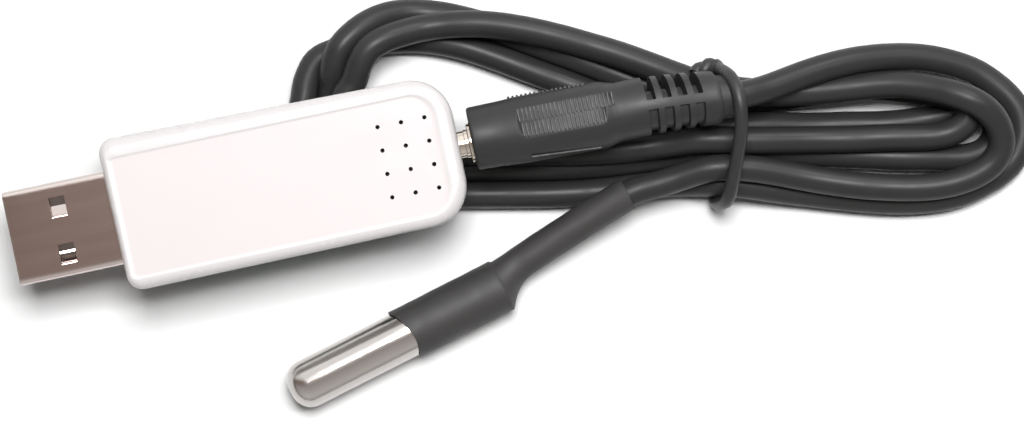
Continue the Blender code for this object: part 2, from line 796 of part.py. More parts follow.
cord_hank = prism("cord_hank", smooth_outline(left_outer), 0, hank_height)
round_rims(cord_hank, hank_edge)
combine(cord_hank, prism("left_loop_opening", smooth_outline(left_inner, True), -single_layer,
                         2 * hank_height))
combine(cord_hank, box("near_leg_step", (near_leg_start, -case_width, single_layer),
                       (moulding_end, near_leg_side, 2 * hank_height)))
combine(cord_hank, prism("hank_waist", waist_outline, waist_lift, hank_height), "UNION")
right_lobe = prism("hank_right_lobe", smooth_outline(right_outer), 0, hank_height)
round_rims(right_lobe, hank_edge)
combine(cord_hank, right_lobe, "UNION")
finish(cord_hank, "cord_grey")

# Wire tie round the waist of the hank, its ends twisted together

tie_route = in_mm([
    (50.3, -4.1, 2.3), (50.8, -4.3, 5.2), (51.7, -3.6, 8.2), (53.4, 0.6, 11.0), (54.7, 4.6, 13.5),
    (55.1, 8.0, 14.3), (54.7, 10.9, 12.9), (53.9, 12.5, 10.0), (53.0, 12.9, 7.0), (52.5, 12.8, 4.0),
    (52.2, 12.0, 1.9), (51.9, 9.6, 1.02), (51.0, 2.0, 1.0), (50.4, -2.8, 1.1),
])
twist_route = in_mm([
    (53.2, 12.9, 8.4), (52.0, 13.5, 8.9), (50.6, 13.9, 8.9), (49.2, 13.6, 8.7),
])
cable_tie = as_mesh(tube("cable_tie", smooth_path(tie_route, 3, True), tie_radius, closed=True))
twist = as_mesh(tube("tie_twist", smooth_path(twist_route, 2), twist_radius))
combine(cable_tie, twist, "UNION")
finish(cable_tie, "tie_grey")

# Probe: steel tube, heat-shrink sleeve, and the sensor chip inside

def end_arc(radius, start, stop):
    """Points of the tube's rounded end, for its outside or its inside."""
    centre = tube_radius - tube_end_round
    for step in range(7):
        turn = start + (stop - start) * step / 6
        yield tube_end_round - radius * math.sin(turn), centre + radius * math.cos(turn)


inner_round = tube_end_round - tube_wall
probe_tube = turned("probe_tube", [
    (tube_wall, 0),
    *end_arc(inner_round, math.pi / 2, 0),
    (tube_length, tube_radius - tube_wall),
    (tube_length, tube_radius),
    *end_arc(tube_end_round, 0, math.pi / 2),
    (0, 0),
])
finish(probe_tube, "probe_steel", probe)

neck_start = tube_length + gap
neck_end = neck_start + sleeve_neck
tail_end = neck_end + sleeve_tail


def along_tail(share):
    """A place on the sleeve's tail, from its neck to its end."""
    return (neck_end + share * sleeve_tail, tail_offset + share * (tail_side - tail_offset),
            share ** 1.2 * tail_rise)


def sleeve_surface(name, thickness, run_out):
    """The sleeve's outer or inner surface, a wide part over the tube and a narrow one over the cord."""
    wide = tube_radius + sleeve_gap + thickness
    narrow = cord_radius + sleeve_gap + thickness
    route = [(sleeve_start - run_out, 0, 0), (sleeve_start + gap, 0, 0), (neck_start, 0, 0),
             (neck_start + 0.35 * sleeve_neck, 0.15 * tail_offset, 0),
             (neck_start + 0.8 * sleeve_neck, 0.8 * tail_offset, 0)]
    radii = [wide, wide, wide, wide + 0.3 * (narrow - wide), narrow + 0.08 * (wide - narrow)]
    for step in range(9):
        route.append(along_tail(step / 8))
        radii.append(narrow)
    if run_out:
        route.append(along_tail(1 + run_out / sleeve_tail))
        radii.append(narrow)
    surface = as_mesh(tube(name, route, radii, sides=6))
    surface.parent = probe
    return surface


heat_shrink_sleeve = sleeve_surface("heat_shrink_sleeve", sleeve_wall, 0)
combine(heat_shrink_sleeve, sleeve_surface("sleeve_inside", 0, gap))
finish(heat_shrink_sleeve, "sleeve_grey", probe)

chip_ring = [(chip_radius * math.cos(step * math.pi / 12), chip_radius * math.sin(step * math.pi / 12))
             for step in range(24)]
chip_section = [(x, min(y, chip_flat)) for x, y in chip_ring]
sensor_chip = prism("sensor_chip", chip_section, chip_setback, chip_setback + chip_length)
sensor_chip.rotation_euler = (0, math.pi / 2, 0)
finish(sensor_chip, "chip_black", probe)
wire_start = chip_setback + chip_length + fine_gap
potting_start = wire_start + potting_setback
wire_end = potting_start + potting_length + wire_pitch
potting_plug = rod("potting_plug", potting_start, potting_start + potting_length,
                   tube_radius - tube_wall - fine_gap, facets)
potting_plug.parent = probe
for number in range(3):
    wire_y = (number - 1) * wire_pitch
    lead = rod(f"sensor_lead_{number + 1}", wire_start, wire_end, wire_radius, 8)
    lead.location.y = wire_y
    finish(lead, "nickel", probe)
    hole = rod(f"lead_hole_{number + 1}", wire_start, potting_start + potting_length + gap,
               wire_radius + fine_gap, 8)
    hole.location.y = wire_y
    combine(potting_plug, hole)
finish(potting_plug, "potting_grey", probe)

bpy.context.view_layer.update()
probe_lead_route = [probe.matrix_world @ Vector(along_tail(step / 4)) for step in range(5)]
probe_lead_route += [Vector(point) for point in in_mm([
    (41.0, -0.5, 5.9), (43.0, -0.5, 5.65), (44.6, -0.5, 5.6),
])]
finish(tube("cord_probe_lead", smooth_path(probe_lead_route, 2), cord_radius), "cord_grey")

# Origin under the middle of the stick and the probe

on_the_cord = {"jack_plug_sleeve", "jack_tip", "jack_ring", "jack_insulator_1", "jack_insulator_2",
               "plug_moulding", "cord_plug_lead", "cord_hank", "cord_probe_lead", "cable_tie"}
bpy.context.view_layer.update()
scene_state = bpy.context.evaluated_depsgraph_get()
corners = []
for piece in parts.objects:
    if piece.type == "MESH" and piece.name not in on_the_cord:
        shape = piece.evaluated_get(scene_state)
        corners += [shape.matrix_world @ vertex.co for vertex in shape.data.vertices]
lowest = [min(corner[axis] for corner in corners) for axis in range(3)]
highest = [max(corner[axis] for corner in corners) for axis in range(3)]
ground.location = (-(lowest[0] + highest[0]) / 2, -(lowest[1] + highest[1]) / 2, -lowest[2])
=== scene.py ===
# %% [markdown]
# # A USB temperature sensor and its plug-in probe
#
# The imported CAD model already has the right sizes: a white stick with a USB plug at one end, a jack
# plug in the other, and a steel probe on a cord that is folded into a tied hank. This notebook dresses
# it: finer shapes where the photograph shows more than the solids hold, and a finish on every piece.
# Each step says what the thing is on the real object, and why it is made the way it is.

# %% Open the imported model
import math

import bmesh
import bpy
import numpy as np
from mathutils import Matrix, Vector


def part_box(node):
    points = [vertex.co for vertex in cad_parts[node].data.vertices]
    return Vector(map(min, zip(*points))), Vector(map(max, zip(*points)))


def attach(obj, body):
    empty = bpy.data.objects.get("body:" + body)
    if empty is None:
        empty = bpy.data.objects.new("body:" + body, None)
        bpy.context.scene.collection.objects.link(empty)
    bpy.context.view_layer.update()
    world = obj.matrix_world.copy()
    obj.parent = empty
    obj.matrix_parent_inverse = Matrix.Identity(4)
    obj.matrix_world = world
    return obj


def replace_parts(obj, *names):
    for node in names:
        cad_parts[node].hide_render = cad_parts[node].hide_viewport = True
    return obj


MM = 0.001
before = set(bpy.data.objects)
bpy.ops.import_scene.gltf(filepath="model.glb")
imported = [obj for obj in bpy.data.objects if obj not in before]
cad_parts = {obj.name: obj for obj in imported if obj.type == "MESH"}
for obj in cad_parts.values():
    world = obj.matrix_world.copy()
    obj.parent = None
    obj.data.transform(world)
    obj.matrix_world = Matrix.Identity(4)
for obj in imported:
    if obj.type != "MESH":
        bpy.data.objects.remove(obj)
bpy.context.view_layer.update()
scene = bpy.context.scene

# %% [markdown]
# The stick's middle line runs along X through the middle of the case. Nearly every rigid piece is
# easiest to describe as a place along that line and a distance from it, so the line is measured
# first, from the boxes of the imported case. The probe has a line of its own, turned a little.

# %% Measure the stick's line and the probe's line
case_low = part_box("lower_case")[0]
case_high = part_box("upper_case")[1]
stick_middle = (case_low + case_high) / 2
case_length = case_high.x - case_low.x
case_width = case_high.y - case_low.y
case_half_height = (case_high.z - case_low.z) / 2
stick_line = Vector((0, stick_middle.y, stick_middle.z))
probe_turn = math.radians(15.0)
probe_line = Matrix.Translation(Vector((-9.271, -16.721, 3.49)) * MM) @ Matrix.Rotation(probe_turn, 4, "Z")
print("stick line at y, z in mm:", round(stick_line.y / MM, 2), round(stick_line.z / MM, 2))

# %% [markdown]
# The photograph looks almost straight down, with the stick running up to the right by about twelve
# degrees. A long lens half a metre above the table gives that flat view, and turning the camera about
# its own line of sight gives the slope without turning the object.

# %% Set up the camera
camera_turn = math.radians(11.9)
camera = bpy.data.objects.new("overhead_camera", bpy.data.cameras.new("overhead_camera"))
scene.collection.objects.link(camera)
camera.location = (23.23 * MM, -0.40 * MM, 500 * MM)
camera.rotation_euler = (0, 0, -camera_turn)
camera.data.lens = 135.7
camera.data.sensor_width = 36
camera.data.clip_start = 0.01
scene.camera = camera
print("camera height in mm:", round(camera.location.z / MM))

# %% [markdown]
# The object lies on a white table. Its shadows are deep, soft-edged and fall a few millimetres to the
# near side, so the main lamp is a soft box high above and a little beyond it. On dark glossy cord the
# lamps draw one thin bright line a little beyond each strand's middle. Where a strand climbs, that
# line asks for a lamp further to the right, so a narrow strip continues the box there, and a small
# far window, much lower, gives the line along the outermost strand; it is only seen in gloss, so it
# throws no long shadows. A wide and very weak ceiling keeps the shadows from going black; that one
# is left out of the mirror-like surfaces.

# %% Lay the table and hang the lamps
table_mesh = bpy.data.meshes.new("table")
reach = 2.0
table_mesh.from_pydata([(-reach, -reach, 0), (reach, -reach, 0), (reach, reach, 0), (-reach, reach, 0)], [],
                       [(0, 1, 2, 3)])
table = bpy.data.objects.new("table", table_mesh)
scene.collection.objects.link(table)

beyond = Vector((math.sin(camera_turn), math.cos(camera_turn), 0))
rightward = Vector((beyond.y, -beyond.x, 0))
lamps_aim = Vector((0.023, 0, 0))


def hang_lamp(name, right, far, height, size, watts):
    """A flat lamp that faces the hank, placed to the right of it, beyond it and above it."""
    light = bpy.data.lights.new(name, "AREA")
    light.shape, light.size, light.size_y, light.energy = "RECTANGLE", size[0], size[1], watts
    lamp = bpy.data.objects.new(name, light)
    away = rightward * right + beyond * far + Vector((0, 0, height))
    lamp.location = lamps_aim + away
    facing = away.normalized()
    along = (rightward - facing * rightward.dot(facing)).normalized()
    lamp.rotation_euler = Matrix((along, facing.cross(along), facing)).transposed().to_euler()
    scene.collection.objects.link(lamp)
    return lamp


box_beyond, box_above = 0.235, 0.90
hang_lamp("soft_box", 0.03, box_beyond, box_above, (0.32, 0.30), 8.2)
hang_lamp("strip_lamp", 0.45, 0.19, 0.90, (0.52, 0.07), 1.9)
hang_lamp("far_window", 0.38, 0.78, 0.75, (0.30, 0.10), 3.0).visible_diffuse = False
hang_lamp("weak_ceiling", 0.0, 0.0, 2.0, (3.0, 3.0), 3.6).visible_glossy = False
print("soft box leans beyond by degrees:", round(math.degrees(math.atan2(box_beyond, box_above)), 1))

# %% [markdown]
# The far half of every strand is a little lighter than its near half, and the flat steel of the plug
# mirrors something dull and brown straight above. So the room round the table is pale beyond the
# object, brown overhead and dim on the near side. It is a ramp on the direction of view, and it
# fades towards the horizon, where the real table ends. The room is only there to be mirrored: its
# walls are too weak to light anything, so it is switched off for diffuse surfaces.

# %% A helper that adds a node
def add(tree, kind, values=None, **settings):
    """A node with its settings, its plain numbers, and links from whatever sockets are given."""
    node = tree.nodes.new(kind)
    for name, value in settings.items():
        setattr(node, name, value)
    for name, value in (values or {}).items():
        if isinstance(value, bpy.types.NodeSocket):
            tree.links.new(value, node.inputs[name])
        else:
            node.inputs[name].default_value = value
    return node


print("node helper ready")

# %% Paint the room
room = bpy.data.worlds.new("room")
room.use_nodes = True
scene.world = room
walls = room.node_tree
walls.nodes.clear()
view = add(walls, "ShaderNodeTexCoord").outputs["Generated"]
lean = add(walls, "ShaderNodeVectorMath", {0: view, 1: beyond}, operation="DOT_PRODUCT")
lean_share = add(walls, "ShaderNodeMapRange", {"Value": lean.outputs["Value"], "From Min": -1.0})
ramp = add(walls, "ShaderNodeValToRGB", {"Fac": lean_share.outputs["Result"]})
stops = ramp.color_ramp.elements
stops.remove(stops[1])
for place, colour in ((0.0, (0.75, 0.73, 0.71, 1)), (0.36, (0.40, 0.37, 0.355, 1)), (0.50, (0.25, 0.19, 0.165, 1)),
                      (0.56, (0.27, 0.21, 0.185, 1)), (0.66, (0.90, 0.88, 0.87, 1)), (0.85, (1.3, 1.3, 1.3, 1))):
    stop = stops.new(place) if place else stops[0]
    stop.color = colour
height = add(walls, "ShaderNodeSeparateXYZ", {"Vector": view})
fade = add(walls, "ShaderNodeMapRange",
           {"Value": height.outputs["Z"], "From Min": 0.02, "From Max": 0.30, "To Min": 0.50})
glow = add(walls, "ShaderNodeBackground", {"Color": ramp.outputs["Color"], "Strength": fade.outputs["Result"]})
add(walls, "ShaderNodeOutputWorld", {"Surface": glow.outputs["Background"]})
room.cycles_visibility.diffuse = False
scene.view_settings.view_transform = "Standard"
scene.view_settings.look = "None"
print("room stops:", len(stops))

# %% [markdown]
# ## Finishes
#
# Four effects come back in several finishes, so they are node groups with named sockets: the fine
# grain of moulded plastic, the drawn lines of brushed or rolled metal, and in one group the smudges
# that handling leaves and sparse dust. Every group measures in millimetres on the piece itself.

# %% Node group helpers
def group(name, inputs, outputs):
    """An empty shader node group with float inputs and the named outputs."""
    tree = bpy.data.node_groups.new(name, "ShaderNodeTree")
    for label, value in inputs.items():
        tree.interface.new_socket(label, in_out="INPUT", socket_type="NodeSocketFloat").default_value = value
    for label in outputs:
        tree.interface.new_socket(label, in_out="OUTPUT", socket_type="NodeSocketFloat")
    return tree, tree.nodes.new("NodeGroupInput"), tree.nodes.new("NodeGroupOutput")


def millimetres(tree):
    """The piece's own coordinates, in millimetres."""
    place = add(tree, "ShaderNodeTexCoord")
    scaled = add(tree, "ShaderNodeVectorMath", {0: place.outputs["Object"], 3: 1000.0}, operation="SCALE")
    return scaled.outputs["Vector"]


def maths(tree, operation, first, second):
    """The result of one sum on two numbers or sockets."""
    return add(tree, "ShaderNodeMath", {0: first, 1: second}, operation=operation).outputs[0]


def noise(tree, place, scale, **values):
    """Noise at a place, from 0 to 1."""
    return add(tree, "ShaderNodeTexNoise", {"Vector": place, "Scale": scale, **values}).outputs["Fac"]


def spread(tree, value, low, high):
    """A value stretched so that low becomes 0 and high becomes 1."""
    return add(tree, "ShaderNodeMapRange", {"Value": value, "From Min": low, "From Max": high}).outputs["Result"]


def give(tree, group_out, **sockets):
    """Link the sockets to the outputs of a group."""
    for label, socket in sockets.items():
        tree.links.new(socket, group_out.inputs[label])
    print("group:", tree.name)


print("helpers ready")

# %% Grain of moulded plastic
grain_tree, grain_in, grain_out = group("moulded_grain", {"Grain Size": 0.08, "Waviness": 0.3},
                                        ["Height", "Patches"])
place = millimetres(grain_tree)
fine = noise(grain_tree, place, maths(grain_tree, "DIVIDE", 1.0, grain_in.outputs["Grain Size"]),
             Detail=3.0, Roughness=0.6)
slow = noise(grain_tree, place, 0.22, Detail=2.0)
wave = maths(grain_tree, "MULTIPLY", slow, grain_in.outputs["Waviness"])
give(grain_tree, grain_out, Height=maths(grain_tree, "ADD", fine, wave), Patches=slow)

# %% Drawn lines of metal
lines_tree, lines_in, lines_out = group("drawn_lines", {"Turn": 0.0, "Fineness": 9.0, "Length": 12.0},
                                        ["Height", "Streaks", "Scratches"])
turned_place = add(lines_tree, "ShaderNodeVectorRotate",
                   {"Vector": millimetres(lines_tree), "Angle": lines_in.outputs["Turn"]}, rotation_type="Z_AXIS")
split = add(lines_tree, "ShaderNodeSeparateXYZ", {"Vector": turned_place.outputs["Vector"]}).outputs
along = maths(lines_tree, "DIVIDE", split["X"], lines_in.outputs["Length"])
place = add(lines_tree, "ShaderNodeCombineXYZ", {"X": along, "Y": split["Y"], "Z": split["Z"]}).outputs["Vector"]
fine = noise(lines_tree, place, lines_in.outputs["Fineness"], Detail=4.0, Roughness=0.7)
give(lines_tree, lines_out, Height=fine, Streaks=noise(lines_tree, place, 0.7, Detail=2.0),
     Scratches=spread(lines_tree, fine, 0.62, 0.72))

# %% Smudges from handling, and dust
marks_tree, marks_in, marks_out = group("handling_marks", {"Patch Size": 5.0, "Dust Size": 0.12},
                                        ["Smudges", "Dust"])
place = millimetres(marks_tree)
patch = noise(marks_tree, place, maths(marks_tree, "DIVIDE", 1.0, marks_in.outputs["Patch Size"]),
              Detail=4.0, Distortion=0.6)
smudge = spread(marks_tree, patch, 0.40, 0.68)
dust_rate = maths(marks_tree, "DIVIDE", 0.35, marks_in.outputs["Dust Size"])
cells = add(marks_tree, "ShaderNodeTexVoronoi", {"Vector": place, "Scale": dust_rate})
specks = spread(marks_tree, cells.outputs["Distance"], 0.16, 0.08)
give(marks_tree, marks_out, Smudges=smudge, Dust=maths(marks_tree, "MULTIPLY", specks, smudge))

# %% [markdown]
# A finish is a Principled shader fed by those groups. The helper below blends two colours by a mask,
# moves the roughness with a second mask, and raises the surface a hair with the grain. What is the
# same all over the piece is typed straight on the shader.

# %% One output of a shared group
def from_group(group_tree, output, **values):
    """A function that puts one of the shared groups in a material and gives one of its outputs."""
    def put_in(tree):
        node = add(tree, "ShaderNodeGroup", node_tree=group_tree)
        for label, value in values.items():
            node.inputs[label.replace("_", " ")].default_value = value
        return node.outputs[output]
    return put_in


grain = from_group(grain_tree, "Height", Grain_Size=0.07)
patches = from_group(grain_tree, "Patches")
smudges = from_group(marks_tree, "Smudges")
dust = from_group(marks_tree, "Dust")
sheet_lines = from_group(lines_tree, "Height", Fineness=7.0, Length=14.0)
print("shared effects:", 5)

# %% A finish from two colours, two roughnesses and a grain
def finish(name, light, dark, smooth, rough, lift=0.05, height=grain, mask=patches, rough_mask=smudges, **plain):
    """A material. height, mask and rough_mask are functions that give a socket in its tree."""
    material = bpy.data.materials.new(name)
    material.use_nodes = True
    tree = material.node_tree
    tree.nodes.clear()
    surface = add(tree, "ShaderNodeBsdfPrincipled")
    for label, value in plain.items():
        surface.inputs[label.replace("_", " ")].default_value = value
    colour = add(tree, "ShaderNodeMix", {"Factor": mask(tree), 6: (*dark, 1), 7: (*light, 1)}, data_type="RGBA")
    gloss = add(tree, "ShaderNodeMapRange", {"Value": rough_mask(tree), "To Min": smooth, "To Max": rough})
    tree.links.new(colour.outputs[2], surface.inputs["Base Color"])
    tree.links.new(gloss.outputs["Result"], surface.inputs["Roughness"])
    if height:
        bump = add(tree, "ShaderNodeBump", {"Height": height(tree), "Strength": lift, "Distance": 0.0002})
        tree.links.new(bump.outputs["Normal"], surface.inputs["Normal"])
    add(tree, "ShaderNodeOutputMaterial", {"Surface": surface.outputs["BSDF"]})
    return material


def metal(name, light, dark, smooth, rough, lift, height=sheet_lines, mask=smudges, rough_mask=dust):
    return finish(name, light, dark, smooth, rough, lift, height, mask, rough_mask, Metallic=1.0)


print("finish helpers ready")

# %% [markdown]
# The case is glossy ABS, almost white, and its label field is very slightly warmer and flatter, as in
# the photograph. The cord and the rubbery pieces are four different dark greys: satin PVC on the
# cord, a harder and blacker moulding, a soft tie, and the dull shrunk sleeve.

# %% Plastics of the case, cord and moulding
white_gloss = finish("white_case_gloss", (0.80, 0.765, 0.765), (0.785, 0.75, 0.75), 0.25, 0.29, 0.02,
                     Coat_Weight=0.25, Coat_Roughness=0.12)
label_satin = finish("white_label_field", (0.785, 0.715, 0.715), (0.775, 0.705, 0.705), 0.34, 0.42, 0.03)
cord_pvc = finish("cord_satin_pvc", (0.036, 0.036, 0.036), (0.029, 0.029, 0.029), 0.36, 0.46, 0.05,
                  from_group(grain_tree, "Height", Grain_Size=0.12), Specular_IOR_Level=0.24)
moulding_pvc = finish("moulding_hard_pvc", (0.034, 0.034, 0.034), (0.027, 0.027, 0.027), 0.42, 0.56, 0.08,
                      from_group(grain_tree, "Height", Grain_Size=0.10), Specular_IOR_Level=0.35)
# In small patches the ribs' finish turns a much lighter grey. That grey is painted sheen for the highlights along
# the crests. Their stronger gloss is real.
rib_pvc_painted_sheen = finish("moulding_rib_crests", (0.105, 0.105, 0.108), (0.034, 0.034, 0.035), 0.40, 0.58, 0.12,
                 mask=from_group(marks_tree, "Smudges", Patch_Size=1.3), rough_mask=dust)
tie_rubber = finish("tie_soft_rubber", (0.036, 0.036, 0.037), (0.028, 0.028, 0.029), 0.34, 0.44, 0.06,
                    Specular_IOR_Level=0.40)
sleeve_shrink = finish("sleeve_dull_shrink", (0.050, 0.048, 0.048), (0.040, 0.038, 0.038), 0.52, 0.66, 0.12,
                       from_group(grain_tree, "Height", Grain_Size=0.16, Waviness=0.8))
print("plastic finishes:", 7)

# %% [markdown]
# The metals mirror their surroundings, so their finish is mostly a low roughness broken by lines: the
# plug's sheet is rolled along its length, and the probe's tube was turned and then polished.

# %% Metals
usb_steel = metal("usb_rolled_steel", (0.74, 0.67, 0.64), (0.62, 0.53, 0.50), 0.09, 0.17, 0.008,
                  mask=from_group(lines_tree, "Streaks"), rough_mask=from_group(lines_tree, "Scratches"))
# The next steel is far darker than the plug's. It is painted shade, given to the spring faces that lie in shade
# under the windows.
spring_steel_painted_shade = metal("spring_dull_steel", (0.22, 0.18, 0.165), (0.16, 0.13, 0.12), 0.30, 0.42, 0.02)
probe_steel = metal("probe_polished_steel", (0.60, 0.575, 0.555), (0.53, 0.505, 0.485), 0.18, 0.25, 0.04,
                    from_group(lines_tree, "Height", Turn=-probe_turn, Fineness=5.0, Length=20.0),
                    from_group(lines_tree, "Streaks", Turn=-probe_turn),
                    from_group(lines_tree, "Scratches", Turn=-probe_turn))
nickel = metal("warm_nickel", (0.78, 0.71, 0.62), (0.66, 0.60, 0.52), 0.14, 0.26, 0.02)
gold = metal("contact_gold_plate", (0.86, 0.80, 0.66), (0.76, 0.70, 0.56), 0.20, 0.34, 0.03)
print("metal finishes:", 5)

# %% [markdown]
# Inside the case nothing shows, but a maker who opens the model finds a finished board, so the parts
# on it get proper finishes too: solder mask over weave, moulded chip bodies and plated caps.

# %% Finishes of what is inside
board_green = finish("board_solder_mask", (0.030, 0.150, 0.062), (0.020, 0.115, 0.048), 0.28, 0.40, 0.06,
                     from_group(grain_tree, "Height", Grain_Size=0.5))
chip_black = finish("chip_epoxy", (0.030, 0.030, 0.032), (0.020, 0.020, 0.021), 0.48, 0.62, 0.10)
can_metal = metal("crystal_can_plate", (0.72, 0.72, 0.70), (0.62, 0.62, 0.61), 0.20, 0.34, 0.03)
ceramic_brown = finish("capacitor_ceramic", (0.34, 0.20, 0.10), (0.27, 0.15, 0.07), 0.40, 0.55)
tongue_white = finish("tongue_nylon", (0.80, 0.80, 0.78), (0.72, 0.72, 0.70), 0.42, 0.55)
potting_resin = finish("potting_epoxy", (0.075, 0.075, 0.080), (0.055, 0.055, 0.058), 0.25, 0.40, 0.04)
inside_finishes = {
    tongue_white: "usb_insulator", board_green: "circuit_board", can_metal: "crystal",
    chip_black: "controller_chip voltage_regulator air_temperature_chip jack_socket jack_insulator_1 "
                "jack_insulator_2 sensor_chip resistor_1 resistor_2 resistor_3",
    gold: "socket_tip_spring socket_ring_spring socket_sleeve_spring usb_contact_1 usb_contact_2 "
          "usb_contact_3 usb_contact_4",
    nickel: "jack_ring jack_tip sensor_lead_1 sensor_lead_2 sensor_lead_3", potting_resin: "potting_plug",
    ceramic_brown: "capacitor_1 capacitor_2 capacitor_3"}
for material, node_names in inside_finishes.items():
    for node_name in node_names.split():
        node_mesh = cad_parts[node_name].data
        node_mesh.materials.clear()
        node_mesh.materials.append(material)
print("carried-over nodes finished:", sum(len(names.split()) for names in inside_finishes.values()))

# %% Finish of the table
table_mesh.materials.append(finish("table_white", (0.97, 0.97, 0.97), (0.96, 0.96, 0.96), 0.60, 0.65, height=None))
print("table finished")

# %% [markdown]
# ## Shapes
#
# Three ways of making a mesh come back. A loft skins a row of rings, which suits everything that was
# moulded or turned. A row of copies is a small Geometry Nodes tree that repeats one piece at an even
# step. A sweep is another tree, that drags a round section along a line, which suits cord and wire.

# %% Loft, and a piece made from it
def loft(rings, ends="capped"):
    """Skin a row of rings that all have the same number of points."""
    count = len(rings[0])
    faces = []
    for row in range(len(rings) if ends == "joined" else len(rings) - 1):
        here, there = row * count, (row + 1) % len(rings) * count
        for step in range(count):
            after = (step + 1) % count
            faces.append((here + step, here + after, there + after, there + step))
    if ends == "capped":
        faces += [tuple(range(count)), tuple(range(len(rings) * count - count, len(rings) * count))]
    return [point for ring in rings for point in ring], faces


def piece_from(name, vertices, faces, material, sharp=32):
    """A mesh object with its doubles merged, its faces outwards and soft edges below an angle."""
    mesh = bpy.data.meshes.new(name)
    mesh.from_pydata([tuple(point) for point in vertices], [], faces)
    tidy = bmesh.new()
    tidy.from_mesh(mesh)
    bmesh.ops.remove_doubles(tidy, verts=tidy.verts, dist=1e-7)
    bmesh.ops.dissolve_degenerate(tidy, edges=tidy.edges, dist=1e-8)
    bmesh.ops.recalc_face_normals(tidy, faces=tidy.faces)
    tidy.to_mesh(mesh)
    tidy.free()
    mesh.materials.append(material)
    mesh.shade_smooth()
    mesh.set_sharp_from_angle(angle=math.radians(sharp))
    piece = bpy.data.objects.new(name, mesh)
    scene.collection.objects.link(piece)
    return piece


def make_plain(piece, sharp=32):
    """Turn what a piece's modifiers give into its own plain mesh, and drop the modifiers."""
    state = bpy.context.evaluated_depsgraph_get()
    mesh = bpy.data.meshes.new_from_object(piece.evaluated_get(state), depsgraph=state)
    piece.modifiers.clear()
    piece.data = mesh
    mesh.shade_smooth()
    mesh.set_sharp_from_angle(angle=math.radians(sharp))
    return piece


def drop(*helpers):
    """Remove helper objects that were only needed to shape something else."""
    for helper in helpers:
        bpy.data.objects.remove(helper)


print("loft ready")

# %% [markdown]
# The row of copies: a line of points with a step between them, and one copy of the given object on
# each point. The tree realises the copies, because a plain mesh is what the model is kept as.

# %% Geometry Nodes: a row of copies
def geometry_tree(name, **inputs):
    """An empty tree with geometry in and out and further inputs, and its given and wanted sockets."""
    tree = bpy.data.node_groups.new(name, "GeometryNodeTree")
    for way in ("OUTPUT", "INPUT"):
        tree.interface.new_socket("Geometry", in_out=way, socket_type="NodeSocketGeometry")
    for label, kind in inputs.items():
        tree.interface.new_socket(label.replace("_", " "), in_out="INPUT", socket_type="NodeSocket" + kind)
    return tree, tree.nodes.new("NodeGroupInput").outputs, tree.nodes.new("NodeGroupOutput").inputs


copies_tree, given, wanted = geometry_tree("row_of_copies", Copy="Object", Columns="Int", Rows="Int",
                                           Column_Step="Vector", Row_Step="Vector", Start="Vector",
                                           Finish="Material")
column_line = add(copies_tree, "GeometryNodeMeshLine", {
    "Count": given["Columns"], "Start Location": given["Start"], "Offset": given["Column Step"]})
row_line = add(copies_tree, "GeometryNodeMeshLine", {"Count": given["Rows"], "Offset": given["Row Step"]})
lattice = add(copies_tree, "GeometryNodeInstanceOnPoints",
              {"Points": column_line.outputs["Mesh"], "Instance": row_line.outputs["Mesh"]})
lattice_points = add(copies_tree, "GeometryNodeRealizeInstances", {"Geometry": lattice.outputs["Instances"]})
shape = add(copies_tree, "GeometryNodeObjectInfo", {"Object": given["Copy"]})
placed = add(copies_tree, "GeometryNodeInstanceOnPoints",
             {"Points": lattice_points.outputs["Geometry"], "Instance": shape.outputs["Geometry"]})
real = add(copies_tree, "GeometryNodeRealizeInstances", {"Geometry": placed.outputs["Instances"]})
dressed = add(copies_tree, "GeometryNodeSetMaterial",
              {"Geometry": real.outputs["Geometry"], "Material": given["Finish"]})
copies_tree.links.new(dressed.outputs["Geometry"], wanted["Geometry"])
print("tree:", copies_tree.name, "nodes:", len(copies_tree.nodes))

# %% Use a tree on a piece
def apply_tree(piece, tree, values):
    """Give a piece a Geometry Nodes modifier, set its inputs by socket identifier, make it plain."""
    modifier = piece.modifiers.new(tree.name, "NODES")
    modifier.node_group = tree
    for item in tree.interface.items_tree:
        if item.in_out == "INPUT" and item.name in values:
            modifier[item.identifier] = values[item.name]
    return make_plain(piece)


def copies(name, shape, columns, column_step, start, material, rows=1, row_step=(0, 0, 0)):
    """Copies of a shape in columns and rows, as one mesh object."""
    carrier = bpy.data.objects.new(name, bpy.data.meshes.new(name))
    scene.collection.objects.link(carrier)
    return apply_tree(carrier, copies_tree, {
        "Copy": shape, "Columns": columns, "Rows": rows, "Column Step": column_step, "Row Step": row_step,
        "Start": start, "Finish": material})


print("copies ready")

# %% [markdown]
# The sweep: the points of the line come in as a chain of edges, become a curve, and a circle is
# dragged along it.

# %% Geometry Nodes: a round section swept along a line
sweep_tree, given, wanted = geometry_tree("round_sweep", Radius="Float", Sides="Int", Finish="Material")
line = add(sweep_tree, "GeometryNodeMeshToCurve", {"Mesh": given["Geometry"]})
section = add(sweep_tree, "GeometryNodeCurvePrimitiveCircle",
              {"Resolution": given["Sides"], "Radius": given["Radius"]})
tube = add(sweep_tree, "GeometryNodeCurveToMesh", {
    "Curve": line.outputs["Curve"], "Profile Curve": section.outputs["Curve"], "Fill Caps": True})
dressed = add(sweep_tree, "GeometryNodeSetMaterial",
              {"Geometry": tube.outputs["Mesh"], "Material": given["Finish"]})
sweep_tree.links.new(dressed.outputs["Geometry"], wanted["Geometry"])


def sweep(name, points, radius, sides, material):
    """A round bar along a line of points."""
    chain = bpy.data.meshes.new(name)
    chain.from_pydata([tuple(point) for point in points], [(n, n + 1) for n in range(len(points) - 1)], [])
    piece = bpy.data.objects.new(name, chain)
    scene.collection.objects.link(piece)
    return apply_tree(piece, sweep_tree, {"Radius": radius, "Sides": sides, "Finish": material})


print("tree:", sweep_tree.name, "nodes:", len(sweep_tree.nodes))

# %% [markdown]
# ## The cord
#
# The cord is one piece of round PVC lead. It leaves the jack plug's moulding, runs round the hank's
# two ends in turn, and comes out on the near side towards the probe. Its way is given as chosen
# points, in millimetres, one row for each run between the tie and an end of the hank.

